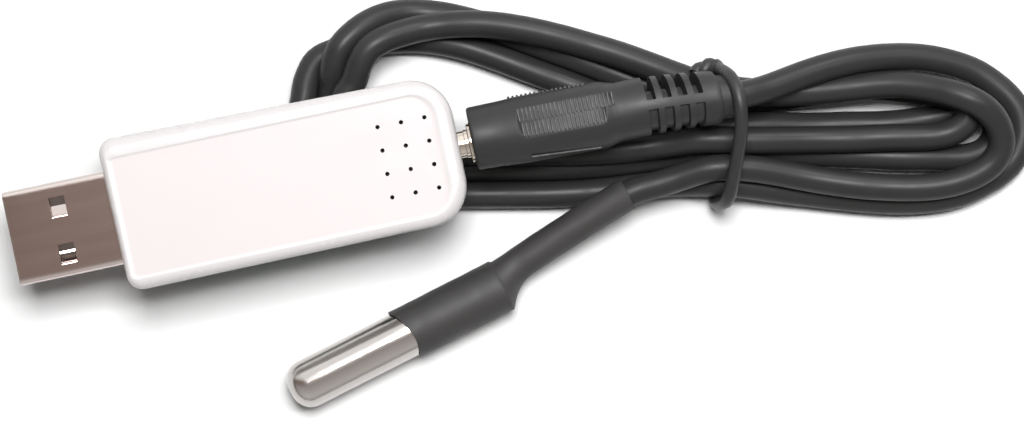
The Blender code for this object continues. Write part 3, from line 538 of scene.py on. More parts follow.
# %% Chosen points of the cord's way
cord_radius = 1.75 * MM
cord_way = [
    # out of the moulding, over the far side of the right loop and back on the near side
    (53.0, 8.74, 11.4), (54.9, 8.68, 10.9), (57.0, 8.65, 10.3), (59.7, 9.0, 9.3), (62.8, 9.4, 8.2),
    (67.1, 9.8, 7.2), (71.6, 9.9, 6.0), (75.6, 9.5, 4.8), (79.6, 8.5, 3.8), (83.4, 6.8, 2.9), (86.6, 4.6, 2.2),
    (88.4, 1.7, 1.9), (88.8, -1.3, 1.8), (88.1, -4.1, 1.8), (86.7, -6.4, 1.8), (84.7, -8.1, 1.8),
    (81.8, -9.2, 1.8), (78.3, -9.5, 1.8), (73.4, -8.9, 1.8), (68.3, -7.6, 1.8), (63.2, -6.0, 2.2),
    (57.9, -4.3, 3.0), (54.0, -2.9, 3.7),
    # outermost near strand, and the outer turn of the left loop
    (50.3, -1.8, 3.7), (46.8, -1.0, 3.0), (43.1, -0.4, 2.2), (38.9, 0.0, 1.8), (33.7, 0.5, 1.8),
    (27.3, 1.6, 1.8), (18.5, 3.4, 1.8), (10.9, 5.1, 1.8), (5.3, 6.7, 1.8), (0.9, 8.9, 1.8), (-1.6, 12.1, 1.8),
    (-1.6, 15.9, 1.8), (0.0, 19.4, 1.8), (1.2, 21.4, 1.8), (3.1, 23.2, 1.8), (6.1, 24.7, 1.8),
    (10.0, 25.5, 1.8), (14.4, 25.2, 1.8), (19.7, 23.5, 1.8), (25.8, 20.4, 1.8), (31.7, 16.7, 1.8),
    (36.7, 13.3, 1.8), (42.3, 9.8, 2.2), (48.2, 7.0, 3.0), (52.6, 5.4, 3.7),
    # small turn at the right end, on the table
    (56.3, 4.5, 3.6), (61.9, 3.3, 2.6), (68.4, 2.05, 1.8), (74.7, 1.0, 1.8), (79.7, 0.8, 1.8),
    (84.1, 0.9, 1.8), (86.9, -0.4, 1.8), (88.0, -2.9, 1.8), (86.6, -4.9, 1.8), (83.4, -5.2, 1.8),
    (78.9, -4.4, 2.6), (73.8, -3.15, 3.3), (68.8, -1.8, 3.1), (61.3, -0.1, 2.6), (55.7, 1.3, 3.6),
    # middle near strand, and the highest turn of the left loop
    (51.3, 2.1, 3.7), (47.3, 2.8, 3.0), (42.8, 3.2, 2.2), (37.6, 3.6, 1.8), (30.6, 4.5, 1.8),
    (23.0, 6.0, 1.8), (15.4, 7.6, 1.8), (9.8, 9.2, 1.8), (5.4, 11.5, 1.8), (2.9, 14.7, 1.8), (3.2, 18.1, 1.8),
    (3.8, 21.0, 2.4), (4.7, 23.2, 3.8), (6.3, 25.0, 5.0), (8.2, 26.5, 5.0), (10.4, 27.4, 4.2),
    (13.1, 27.7, 3.0), (16.3, 27.4, 2.2), (20.2, 26.3, 1.8), (24.7, 24.2, 1.8), (28.9, 21.6, 1.8),
    (33.1, 18.9, 1.8), (38.3, 15.5, 1.8), (43.4, 12.3, 2.2), (48.8, 9.9, 3.0), (53.2, 8.5, 3.7),
    # second small turn at the right end
    (57.0, 7.9, 3.6), (62.8, 7.3, 2.6), (68.6, 6.9, 2.4), (73.7, 5.9, 2.8), (78.0, 4.5, 3.6),
    (81.4, 3.0, 4.2), (83.2, 1.8, 4.8), (83.4, 0.1, 5.0), (82.2, -1.1, 5.1), (79.4, -1.6, 5.2),
    (74.0, -1.0, 4.9), (67.7, 0.2, 4.8), (61.3, 1.5, 5.4), (55.7, 2.6, 6.6),
    # upper near strand, under the moulding, and the inner turn of the left loop
    (51.5, 3.5, 6.8), (47.5, 4.2, 6.2), (44.2, 4.5, 5.4), (40.4, 4.8, 5.2), (34.7, 5.6, 5.2),
    (27.2, 7.1, 5.2), (19.7, 8.8, 5.2), (14.1, 10.2, 5.2), (9.2, 12.1, 5.2), (6.1, 14.6, 5.2), (5.0, 17.3, 5.2),
    (5.0, 19.5, 5.3), (5.7, 21.2, 5.6), (6.9, 22.8, 6.4), (8.8, 24.0, 7.2), (11.3, 24.9, 7.2),
    (14.3, 25.4, 6.4), (18.0, 25.5, 5.3), (21.8, 25.1, 5.2), (26.0, 24.0, 5.2), (31.3, 21.9, 5.2),
    (34.9, 20.2, 5.2), (40.8, 17.1, 5.2), (45.6, 14.1, 5.8), (49.3, 11.8, 6.4), (52.9, 10.1, 6.8),
    # top turn of the right end
    (56.5, 8.8, 6.8), (60.7, 7.9, 6.0), (65.1, 7.3, 5.6), (70.0, 6.70, 5.8), (74.7, 6.0, 6.5),
    (78.5, 4.7, 7.4), (81.9, 3.0, 8.2), (84.6, 0.9, 8.0), (86.3, -1.5, 7.0), (86.7, -3.9, 6.4),
    (85.8, -5.8, 5.8), (83.9, -7.0, 5.4), (81.4, -7.8, 5.2), (77.5, -8.0, 5.0), (73.0, -7.3, 4.9),
    (67.7, -5.9, 4.9), (63.0, -4.2, 5.0), (58.4, -2.3, 5.6), (54.5, -0.8, 6.6),
    # the lead to the probe
    (50.8, 0.1, 6.9), (47.7, 0.2, 6.6), (44.6, -0.1, 6.2), (41.4, -0.4, 6.1),
]
print("chosen points:", len(cord_way))

# %% [markdown]
# At the probe the cord goes into the tail of the sleeve, so its last points follow the tail, in the
# probe's own frame. The tail leaves the tube a little to the far side and climbs to the hank.

# %% The sleeve's tail, which the end of the cord follows
tube_length = 30.0 * MM
neck_length = 2.9 * MM
tail_length = 17.2 * MM


def tail_side(past):
    """How far the tail lies to the far side, at a distance in mm past the tube's mouth."""
    return 1.05 + 0.138 * past - 0.0015 * past * past


def tail_height(share):
    """How far the tail has climbed, in mm, from its neck (0) to its end (1)."""
    return share ** 1.2 * 2.7


def tail_point(share):
    """A place on the sleeve's middle line, from its neck (0) to its end (1)."""
    along = neck_length + share * tail_length
    return probe_line @ Vector((tube_length + along, tail_side(along / MM) * MM, tail_height(share) * MM))


cord_way += [tuple(tail_point(share) / MM) for share in (1.0, 0.75, 0.5, 0.25, 0.0)]
print("cord ends at, in mm:", [round(value, 1) for value in cord_way[-1]])

# %% [markdown]
# The tie is one bent piece of rubber-covered wire. Its way is needed before the cord settles,
# because the strands lean on it. Both ends leave the ring at the far side and are twisted together.

# %% Chosen points of the tie
tie_radius = 0.9 * MM
tie_shift = Vector((-0.85, 0.05, 0))
tie_ring = [Vector(point) + tie_shift for point in (
    (53.4, 12.9, 7.6), (52.9, 12.9, 5.4), (52.5, 12.6, 3.4), (52.2, 11.6, 1.8), (51.9, 9.4, 0.98),
    (51.4, 5.6, 0.96), (51.0, 1.8, 0.96), (50.5, -2.4, 1.05), (50.2, -4.1, 2.3), (50.7, -4.4, 5.2),
    (51.7, -3.6, 8.2), (53.4, 0.6, 11.0), (54.7, 4.6, 13.5), (55.1, 8.0, 14.3), (54.8, 10.6, 13.2),
    (54.0, 12.0, 10.8), (53.3, 12.4, 9.2))]
print("tie points:", len(tie_ring))

# %% Smooth a line of points, and space it evenly
def smooth_line(points, steps=10):
    """A rounded line through every chosen point."""
    points = np.array([tuple(point) for point in points], float)
    before, after = np.vstack([points[:1], points[:-2]]), np.vstack([points[2:], points[-1:]])
    here, there = points[:-1], points[1:]
    rows = []
    for share in np.arange(steps) / steps:
        rows.append(0.5 * (2 * here + (there - before) * share
                           + (2 * before - 5 * here + 4 * there - after) * share ** 2
                           + (3 * here - before - 3 * there + after) * share ** 3))
    return np.vstack([np.stack(rows, 1).reshape(-1, 3), points[-1:]])


def spaced(line, step):
    """The same line with its points an even step apart."""
    run = np.concatenate([[0], np.cumsum(np.linalg.norm(np.diff(line, axis=0), axis=1))])
    places = np.linspace(0, run[-1], int(round(run[-1] / step)) + 1)
    return np.stack([np.interp(places, run, line[:, axis]) for axis in range(3)], 1)


def line_length(line):
    return float(np.linalg.norm(np.diff(line, axis=0), axis=1).sum())


cord_step = 1.25
drawn_cord = spaced(smooth_line(cord_way), cord_step)
print("drawn cord in mm:", round(line_length(drawn_cord), 1), "points:", len(drawn_cord))

# %% [markdown]
# Chosen points alone leave strands that cut into each other. So the cord settles, as the real one
# does: it sinks under its weight, stays stiff, and is pushed off the table, the case, the moulding,
# the tie and every other strand, while a weak pull keeps it near its drawn place. This is a small
# solver on 500 points, not Blender's cloth, because a cord is a line and its contacts are simple.

# %% Pushes off solid things
def push_off_bar(line, start, end, clearance, strength, free):
    """Move points out of a round bar between two points."""
    start, end = np.array(start, float), np.array(end, float)
    way = end - start
    share = np.clip(((line - start) @ way) / (way @ way), 0, 1)
    away = line - (start + share[:, None] * way)
    far = np.linalg.norm(away, axis=1)
    inside = (far < clearance) & (far > 1e-6) & free
    line[inside] += strength * ((clearance - far[inside]) / far[inside])[:, None] * away[inside]


def push_strands_apart(line, pairs, diameter):
    """Move apart the strands that overlap."""
    first, second = pairs
    away = line[second] - line[first]
    far = np.linalg.norm(away, axis=1)
    close = far < diameter
    first, second, away, far = first[close], second[close], away[close], np.maximum(far[close], 1e-6)
    shove = (0.25 * (diameter - far) / far)[:, None] * away
    moved, counted = np.zeros_like(line), np.zeros(len(line))
    np.add.at(moved, first, -shove)
    np.add.at(moved, second, shove)
    np.add.at(counted, first, 1)
    np.add.at(counted, second, 1)
    line += 1.6 * moved / np.maximum(counted, 1)[:, None]


print("pushes ready")

# %% Settle the cord
pull_early, pull_late, pull_height, weight, stiffness = 0.09, 0.04, 0.02, 0.01, 0.9
grip_reach, relief_reach, table_gap = 4.4, 2.9, 0.06
grip_line, relief_line = ((21, 9.73, 11.8), (45, 9.6, 11.8)), ((45, 9.6, 11.8), (53.2, 8.8, 11.8))


def settle(drawn, rounds=520):
    """Let the drawn cord come to rest on the table and on itself. All in millimetres."""
    line, count, radius = drawn.copy(), len(drawn), cord_radius / MM
    number = np.arange(count)
    held = (number < 3) | (number >= count - 15)
    past_exit = number > 30
    tie_line = smooth_line(tie_ring, 5)
    under_case = case_low.z / MM - radius
    for turn in range(rounds):
        if turn % 10 == 0:
            gaps = np.linalg.norm(line[:, None] - line[None], axis=2)
            apart = np.abs(number[:, None] - number[None]) > round(4.4 * radius / cord_step)
            pairs = np.nonzero(np.triu(apart & (gaps < 3 * radius)))
        early = turn < 0.7 * rounds
        line[:, :2] += (pull_early if early else pull_late) * (drawn - line)[:, :2]
        line[:, 2] += pull_height * (drawn - line)[:, 2] - weight
        line[2:-2] += stiffness / 16 * (4 * line[1:-3] + 4 * line[3:-1] - 6 * line[2:-2] - line[:-4] - line[4:])
        for _ in range(2):
            push_strands_apart(line, pairs, 2 * radius)
        for start, end in zip(tie_line[::2], tie_line[2::2]):
            push_off_bar(line, start, end, radius + tie_radius / MM, 0.5, past_exit)
        push_off_bar(line, *grip_line, radius + grip_reach, 1.0, past_exit)
        push_off_bar(line, *relief_line, radius + relief_reach, 1.0, past_exit)
        beneath = (line[:, 0] < case_high.x / MM) & (line[:, 1] > case_low.y / MM - radius)
        beneath &= line[:, 1] < case_high.y / MM + radius
        line[beneath, 2] = np.minimum(line[beneath, 2], under_case)
        line[:, 2] = np.maximum(line[:, 2], radius + table_gap)
        line[held] = drawn[held]
    return line


settled = settle(drawn_cord)
cord_line = spaced(smooth_line(settled[::2], 4), 0.65)
print("settled cord in mm:", round(line_length(cord_line), 1), "highest:", round(float(settled[20:, 2].max()), 2),
      "furthest from its drawing:", round(float(np.linalg.norm(settled - drawn_cord, axis=1).max()), 2))

# %% Sweep the cord
cord_points = [Vector(point) * MM for point in cord_line]
probe_cord = sweep("probe_cord", cord_points, cord_radius, 20, cord_pvc)
print("cord faces:", len(probe_cord.data.polygons))

# %% [markdown]
# ## The case
#
# Two shells of white ABS meet at the middle plane with a thin seam. Seen from above, the corners at
# the jack end are wider than those at the plug end, and the case narrows by a millimetre towards the
# jack, mostly on its far side. The taper fades out with the inset, so the inner wall is nearly
# straight. The rim is rounded over, and the label field lies a hair below it. Each half is one loft:
# from the middle of the outside, over the rim, down to the seam, in over the lip and up the inner
# wall, so it is a closed shell of nearly even thickness.

# %% Outline of the case at any inset and height
jack_corner, plug_corner, smallest_corner = 5.2 * MM, 2.0 * MM, 0.35 * MM
taper_depth = 2.1 * MM              # from this inset on, the outline is straight


def case_ring(inset, height):
    """The case seen from above, at a height above the stick's line. It is drawn in by one inset, or
    by four: plug end, far side, jack end, near side."""
    plug, far, jack, near = inset if isinstance(inset, tuple) else (inset,) * 4
    points = []
    for turn, right, side, end, across in ((0, 1, 1, jack, far), (90, -1, 1, plug, far),
                                           (180, -1, -1, plug, near), (270, 1, -1, jack, near)):
        reach = jack_corner if right > 0 else plug_corner
        radius_x, radius_y = max(reach - end, smallest_corner), max(reach - across, smallest_corner)
        middle_x = (case_high.x - end if right > 0 else case_low.x + end) - right * radius_x
        middle_y = side * (case_width / 2 - across - radius_y)
        for step in range(11):
            angle = math.radians(turn + 9 * step)
            x, y = middle_x + radius_x * math.cos(angle), middle_y + radius_y * math.sin(angle)
            widen = max(0.0, 1 - across / taper_depth) * abs(y) / (case_width / 2)
            share = (x - case_low.x) / case_length
            y += widen * ((0.45 - 0.75 * share) if side > 0 else (0.25 * share - 0.15)) * MM
            x += (1 - share) * (1 - side) * 0.16 * MM * widen
            points.append(Vector((x, stick_line.y + y, stick_line.z + height)))
    return points


rim_widths = (0.80 * MM, 1.3 * MM, 1.3 * MM, 1.15 * MM)


def rim_rings(top, rounding, side, steps=8):
    """Rings over a rounded rim, from the flat to the side wall."""
    for step in range(steps + 1):
        angle = math.pi / 2 * step / steps
        yield case_ring(tuple(width * (1 - math.sin(angle)) for width in rim_widths),
                        side * (top - rounding * (1 - math.cos(angle))))


print("points in an outline:", len(case_ring(0, 0)))

# %% Loft the two halves
wall, seam, label_depth, rim = 1.3 * MM, 0.11 * MM, 0.07 * MM, 1.3 * MM


def label_ring(out, height):
    """An outline of the label field. Its step is steep along the sides and very gentle at the ends."""
    return case_ring(((1.05 + 2 * out) * MM, (2.1 + out) * MM, (2.0 + 3 * out) * MM, (1.4 + out) * MM), height)


def case_half(name, side):
    """One half of the case: side is 1 for the upper and -1 for the lower."""
    top, inner = case_half_height, case_half_height - wall
    rings = [label_ring(out, side * (top - down)) for out, down in (
        (0.46, label_depth), (0.26, label_depth), (0.16, 0.94 * label_depth), (0.06, 0.50 * label_depth),
        (-0.03, 0.08 * label_depth), (-0.10, 0))]
    rings += rim_rings(top, rim, side)
    rings += [case_ring(0, side * (seam + 0.12 * MM)), case_ring(0.04 * MM, side * (seam + 0.03 * MM)),
              case_ring(0.12 * MM, side * seam)]
    if side > 0:
        rings += [case_ring(0.55 * MM, seam), case_ring(0.55 * MM, 1.2 * MM), case_ring(wall, 1.2 * MM)]
    else:
        rings += [case_ring(0.75 * MM, -seam), case_ring(0.75 * MM, 0.9 * MM), case_ring(wall, 0.9 * MM)]
    rings += [case_ring(wall, side * (inner - 0.5 * MM)), case_ring(wall + 0.5 * MM, side * inner)]
    return piece_from(name, *loft(rings), white_gloss)


upper_case = case_half("upper_case_shell", 1)
lower_case = case_half("lower_case_shell", -1)
print("faces in the upper half before the openings:", len(upper_case.data.polygons))

# %% [markdown]
# Twelve small vent holes let room air reach the sensor chip. They are one round cutter, repeated by
# the row of copies in three columns and four rows. The slot for the USB plug and the hole for the
# jack are cut with the same Boolean, so each half is cut once.

# %% Cut the vents and the two end openings
def round_bar(name, middle, radius, length, sides, axis="Z"):
    """A round bar with its middle at a point."""
    rings = []
    for end in (-length / 2, length / 2):
        ring = [Vector((radius * math.cos(math.tau * n / sides), radius * math.sin(math.tau * n / sides), end))
                for n in range(sides)]
        turn = Matrix.Rotation(math.pi / 2, 3, "Y") if axis == "X" else Matrix.Identity(3)
        rings.append([turn @ point + Vector(middle) for point in ring])
    return piece_from(name, *loft(rings), white_gloss)


def cut(piece, cutter, sharp=32):
    """Take a cutter out of a piece."""
    boolean = piece.modifiers.new("cut", "BOOLEAN")
    boolean.solver, boolean.operation, boolean.object = "EXACT", "DIFFERENCE", cutter
    return make_plain(piece, sharp)


def joined(name, first, *others):
    """Several separate shapes as one object."""
    whole = bmesh.new()
    for thing in (first, *others):
        whole.from_mesh(thing.data)
    whole.to_mesh(first.data)
    whole.free()
    drop(*others)
    first.name = name
    return first


vent_pitch, vent_radius, jack_hole_radius = 3.0 * MM, 0.28 * MM, 2.8 * MM
vent_middle = Vector((case_high.x - 6.5 * MM, stick_line.y - 0.25 * MM, case_high.z))
one_vent = round_bar("one_vent", (0, 0, 0), vent_radius, 4 * MM, 14)
vents = copies("vent_cutters", one_vent, 3, (vent_pitch, 0, 0),
               tuple(vent_middle - Vector((vent_pitch, 1.5 * vent_pitch, 0))), white_gloss, 4, (0, vent_pitch, 0))
drop(one_vent)
print("vent cutters:", len(vents.data.polygons) // 16)

# %% Openings for the plug and the jack
usb_low, usb_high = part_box("usb_plug_shell")


def rounded_bar(name, low, high, corner, axis, steps=4):
    """A bar along X or Z with rounded edges, between two corners."""
    order = {"X": (1, 2, 0), "Z": (0, 1, 2)}[axis]
    a, b, c = (Vector((low[i], high[i])) for i in order)
    rings = []
    for end in c:
        ring = []
        for turn, u, v in ((0, a[1] - corner, b[1] - corner), (90, a[0] + corner, b[1] - corner),
                           (180, a[0] + corner, b[0] + corner), (270, a[1] - corner, b[0] + corner)):
            for step in range(steps + 1):
                angle = math.radians(turn + 90 * step / steps)
                point = [0, 0, 0]
                point[order[0]], point[order[1]] = u + corner * math.cos(angle), v + corner * math.sin(angle)
                point[order[2]] = end
                ring.append(Vector(point))
        rings.append(ring)
    return piece_from(name, *loft(rings), white_gloss)


def opening_cutters(name):
    slot = rounded_bar(name, (case_low.x - 2 * MM, usb_low.y - 0.2 * MM, usb_low.z - 0.2 * MM),
                       (case_low.x + 2.2 * MM, usb_high.y + 0.2 * MM, usb_high.z + 0.2 * MM), 0.8 * MM, "X")
    hole = round_bar(name + "_jack", (case_high.x, stick_line.y, stick_line.z), jack_hole_radius, 5 * MM, 40,
                     "X")
    return joined(name, slot, hole)


upper_cutters = joined("upper_cutters", vents, opening_cutters("upper_openings"))
lower_cutters = opening_cutters("lower_openings")
cut(upper_case, upper_cutters)
cut(lower_case, lower_cutters)
drop(upper_cutters, lower_cutters)
print("upper half:", len(upper_case.data.polygons), "lower half:", len(lower_case.data.polygons))

# %% [markdown]
# Four pairs of round posts hold the board between the halves. They are one post, repeated. The label
# field is the large flat inside the recess, and gets its own slightly warmer finish. The white halves
# throw no light back onto the table, which keeps their shadow on it as deep as a dark object's.

# %% Posts that hold the board, and the label field's finish
post_low = round_bar("post", (0, 0, -2.4 * MM), 1.1 * MM, 2.6 * MM, 20)
post_high = round_bar("post", (0, 0, 1.65 * MM), 1.1 * MM, 3.4 * MM, 20)
post_step = (Vector((16.0, 0, 0)) * MM, Vector((0, 12.6, 0)) * MM)
post_start = Vector((case_low.x + 10.7 * MM, stick_line.y - 6.3 * MM, stick_line.z))
for half, post in ((lower_case, post_low), (upper_case, post_high)):
    posts = copies("posts", post, 2, post_step[0], post_start, white_gloss, 2, post_step[1])
    joined(half.name, half, posts)
    drop(post)
    half.data.materials.clear()
    half.data.materials.append(white_gloss)
    half.data.materials.append(label_satin)
for polygon in upper_case.data.polygons:
    middle = polygon.center
    flat = abs(middle.z - (case_high.z - label_depth)) < 0.02 * MM and polygon.normal.z > 0.99
    polygon.material_index = 1 if flat else 0
for half in (upper_case, lower_case):
    half.modifiers.new("even_shading", "WEIGHTED_NORMAL").keep_sharp = True
    make_plain(half)
    half.visible_diffuse = False
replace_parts(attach(upper_case, "root"), "upper_case")
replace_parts(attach(lower_case, "root"), "lower_case")
print("label faces:", sum(polygon.material_index for polygon in upper_case.data.polygons))

# %% [markdown]
# ## The USB plug
#
# A standard plug is folded from one strip of 0.3 mm steel. Its edges are rounded, its mouth is turned
# in a hair, the two ends of the strip meet in a seam underneath, and each broad side has two windows.
# The sleeve is a loft whose last ring joins its first, so it has an inside and an outside.

# %% Loft the folded shell
usb_middle = (usb_low + usb_high) / 2


def usb_ring(inset, x):
    """The plug's section at a place along it, drawn in by inset. Each corner's arc has one more point
    a little way onto the flat at both its ends, which keeps the flat's shading even."""
    points = []
    half_width, half_height = (usb_high.y - usb_low.y) / 2 - inset, (usb_high.z - usb_low.z) / 2 - inset
    corner = 0.75 * MM - inset
    for turn, side, level in ((0, 1, 1), (90, -1, 1), (180, -1, -1), (270, 1, -1)):
        for step in range(-1, 10):
            angle = math.radians(turn + 90 * min(8, max(0, step)) / 8)
            onto_flat = 0.2 * MM * ((step > 8) - (step < 0))
            across = side * (half_width - corner) + corner * math.cos(angle) - onto_flat * math.sin(angle)
            up = level * (half_height - corner) + corner * math.sin(angle) + onto_flat * math.cos(angle)
            points.append(Vector((x, usb_middle.y + across, usb_middle.z + up)))
    return points


sheet = 0.3 * MM
window_middle, window_sides = 6.7 * MM, (2.8, -3.2)
mouth, root = usb_low.x, usb_high.x
usb_rings = [usb_ring(inset * MM, mouth + deep * MM) for inset, deep in (
    (0.0, 3.0), (0.0, 0.5), (0.05, 0.14), (0.11, 0.03), (0.17, 0.0), (0.24, 0.03), (0.30, 0.12), (0.32, 0.5))]
usb_rings += [usb_ring(sheet, mouth + 1.2 * MM), usb_ring(sheet, root), usb_ring(0, root),
              usb_ring(0, mouth + 4 * MM)]
usb_shell = piece_from("usb_shell", *loft(usb_rings, "joined"), usb_steel)
print("shell faces:", len(usb_shell.data.polygons))

# %% Punch the windows and the seam
window = rounded_bar("window", (-1.0 * MM, -1.3 * MM, -4 * MM), (1.0 * MM, 1.3 * MM, 4 * MM), 0.12 * MM, "Z", 3)
windows = copies("windows", window, 1, (0, 0, 0),
                 (mouth + window_middle, usb_middle.y + window_sides[1] * MM, usb_middle.z), usb_steel, 2,
                 (0, (window_sides[0] - window_sides[1]) * MM, 0))
seam_cut = rounded_bar("seam", (mouth - MM, usb_middle.y - 0.03 * MM, usb_low.z - MM),
                       (root + MM, usb_middle.y + 0.03 * MM, usb_low.z + 0.5 * MM), 0.01 * MM, "Z", 1)
windows = joined("windows", windows, seam_cut)
cut(usb_shell, windows, 28)
drop(window, windows)
usb_shell.modifiers.new("even_shading", "WEIGHTED_NORMAL").keep_sharp = True
make_plain(usb_shell, 28)
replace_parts(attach(usb_shell, "root"), "usb_plug_shell")
print("shell faces with windows and seam:", len(usb_shell.data.polygons))

# %% [markdown]
# Behind each window lies a leaf spring bent from the same sheet. It falls away under the far part of the
# window and turns up again towards the near edge, where it catches the lamp. The faces that fall away
# get a much darker steel, which is painted shade for the shade under the window's far part. The
# window's near edge is rolled over by the punch and shows as one bright line.

# %% Bend the leaf springs and roll the windows' near edges
def leaf_spring(name, side, bends, fall):
    """A strip 2.6 mm wide behind a window, through (place across, depth under the sheet's face)."""
    rings = []
    for end in (5.4, 8.0):
        upper = [Vector((mouth + end * MM, usb_middle.y + (side + across) * MM,
                         usb_high.z - (depth + fall * (end - 6.7)) * MM)) for across, depth in bends]
        rings.append(upper + [point - Vector((0, 0, 0.12 * MM)) for point in upper[::-1]])
    return piece_from(name, *loft(rings), usb_steel, 6)


springs = [leaf_spring("far_spring", window_sides[0],
                       ((1.6, 0.46), (0.20, 1.06), (-0.95, 0.75), (-1.6, 0.80)), 0.05),
           leaf_spring("near_spring", window_sides[1],
                       ((1.6, 0.46), (0.40, 0.88), (0.14, 0.84), (-0.90, 1.20), (-1.6, 1.24)), 0.09)]
for number, side in enumerate(window_sides):
    edge = [Vector((mouth + (5.7 + 0.2 * step) * MM, usb_middle.y + (side - 1.26) * MM,
                    usb_high.z - (0.17 + 0.018 * (step - 5)) * MM)) for step in range(11)]
    springs.append(sweep(f"rolled_edge_{number}", edge, 0.17 * MM, 12, usb_steel))
usb_springs = joined("usb_springs", springs[0], *springs[1:])
# Faces that fall away towards the near side, deep under the sheet, take the darker steel as painted shade.
usb_springs.data.materials.append(spring_steel_painted_shade)
for polygon in usb_springs.data.polygons:
    painted_shade_face = polygon.normal.y < -0.15 and polygon.normal.z > 0.5
    polygon.material_index = 1 if painted_shade_face and polygon.center.z < usb_high.z - 0.40 * MM else 0
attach(usb_springs, "root")
print("spring faces:", len(usb_springs.data.polygons))

# %% [markdown]
# ## The jack plug
#
# Between the case and the moulding shows a short bright stretch of the plug's sleeve and its shoulder
# ring. It is a turned part, so it is a lathe: a profile of distances from the stick's line, spun.

# %% Turn a profile about a line
def turned(name, profile, material, sides=72, line=None, sharp=32):
    """A turned piece from (place along, distance from the line) pairs in millimetres."""
    rings = []
    for along, out in profile:
        ring = [Vector((along, out * math.cos(math.tau * n / sides), out * math.sin(math.tau * n / sides))) * MM
                for n in range(sides)]
        rings.append([line @ point if line else point + stick_line for point in ring])
    ends = "joined" if profile[0] != profile[-1] and profile[0][1] > 0 else "open"
    return piece_from(name, *loft(rings, ends), material, sharp)


shoulder = case_high.x / MM + 1.3
jack_front, jack_back = (corner.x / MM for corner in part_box("jack_plug_sleeve"))
collar = ((0.60, 1.75), (0.54, 1.85), (0.54, 2.42), (0.48, 2.52), (0.42, 2.55), (0.36, 2.55), (0.32, 2.49),
          (0.26, 2.49), (0.22, 2.55), (0.12, 2.55), (0.04, 2.51), (0, 2.43), (0, 1.93), (-0.05, 1.87),
          (-0.45, 1.87), (-0.50, 1.82), (-0.50, 1.75))
jack_sleeve = turned("jack_sleeve", [
    (jack_back, 0.75), (jack_back, 1.75), *[(shoulder + past, out) for past, out in collar],
    (jack_front, 1.75), (jack_front, 0.75)], nickel)
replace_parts(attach(jack_sleeve, "root"), "jack_plug_sleeve")
print("jack sleeve faces:", len(jack_sleeve.data.polygons))

# %% [markdown]
# ## The moulding
#
# The moulding is soft black PVC shot over the jack plug and the lead. It has a plain nose, a grip
# with a flat pad of fine ribs on top and ridges at its sides, a waist, and a strain relief: four
# slots each side of a spine, a collar and a nozzle. Its section is round nearly everywhere, so it
# is a loft whose rings follow a rule: a distance for each place along it and each angle round it.
# The slots, and the flats of the pads, are part of that rule, which gives them soft clean edges.

# %% The moulding's rule
moulding_start = shoulder + 0.42
grip_start, grip_end = shoulder + 5.1, shoulder + 16.7
waist_start = grip_end + 2.6
relief_start = waist_start + 3.0
relief_end = relief_start + 7.44
nozzle_start, moulding_end = relief_end + 1.9, relief_end + 3.8
slot_pitch, slot_width, slot_slope, spine_slope, spine_half = 1.86, 1.0, 0.10, 0.12, 0.65
slot_places = [relief_start + (number + 0.25) * slot_pitch for number in range(4)]
far_core, near_core, relief_radius = 1.85, 3.1, 3.5
profile = ((moulding_start, ((0, 3.72), (0.06, 3.88), (0.18, 3.98), (0.40, 4.02))),
           (grip_start, ((-0.5, 4.12), (1.3, 4.24))), (grip_end, ((0, 4.3), (0.8, 4.22), (1.9, 3.88))),
           (waist_start, ((0, 3.75),)), (relief_start, ((0, 3.75),)), (relief_end, ((0, relief_radius),)),
           (nozzle_start, ((-0.25, 3.46), (-0.08, 3.34), (0, 2.85))),
           (moulding_end, ((-0.3, 2.78), (-0.08, 2.6), (0, 2.3))))
profile_places = [start + past for start, steps in profile for past, out in steps]
profile_radii = [out for start, steps in profile for past, out in steps]


def slot_depth(along, angle):
    """How much of a slot is at a place, from 0 on the rib to 1 at the bottom of the slot."""
    from_spine = abs(math.sin(angle - math.pi / 2)) * relief_radius - spine_half
    across = min(1, max(0, from_spine / spine_slope + 0.5))
    depth = 0.0
    for place in slot_places:
        inside = min(along - place, place + slot_width - along)
        depth = max(depth, min(1, max(0, inside / slot_slope + 0.5)))
    return depth * across


def moulding_radius(along, angle):
    """Distance of the moulding's surface from its line, in millimetres."""
    radius = float(np.interp(along, profile_places, profile_radii))
    core = far_core if math.cos(angle) > 0 else near_core
    return radius + slot_depth(along, angle) * (core - radius)


print("moulding from", round(moulding_start, 2), "to", round(moulding_end, 2))

# %% Rings of the moulding
pad_start, pad_end, near_pad_end = grip_start + 1.4, grip_start + 13.9, grip_start + 12.7
pad_flat, pad_fade, pad_roll = 3.80, 0.6, math.radians(11.4)
nose_offset = 0.45


def droop(along):
    """How far the strain relief leans to the near side, and half as far down."""
    return max(0.0, (along - waist_start) / (moulding_end - waist_start)) ** 2


def nose_lean(along):
    """How far the grip and the nose sit to the far side."""
    return nose_offset * max(0.0, (waist_start - along) / (waist_start - moulding_start))


def moulding_ring(along, radius=None):
    """One ring of the moulding. A given radius makes a plain circle, for the bores."""
    points = []
    for angle in ring_angles:
        out = radius if radius is not None else moulding_radius(along, angle)
        side, up = out * math.cos(angle), out * math.sin(angle)
        if radius is None and pad_start < along < pad_end:
            row_end = pad_end if side * math.cos(pad_roll) > up * math.sin(pad_roll) else near_pad_end
            fade = max(0.0, 1 - min(along - pad_start, row_end - along) / pad_fade)
            limit = pad_flat + 0.5 * fade * fade
            out_of_pad = side * math.sin(pad_roll) + up * math.cos(pad_roll)
            trim = out_of_pad - max(-limit, min(limit, out_of_pad))
            side, up = side - trim * math.sin(pad_roll), up - trim * math.cos(pad_roll)
        tipped = up * 0.30 * droop(along) ** 0.5
        points.append(Vector((along + tipped, side + nose_lean(along) - droop(along), up - 0.5 * droop(along))) * MM
                      + stick_line)
    return points


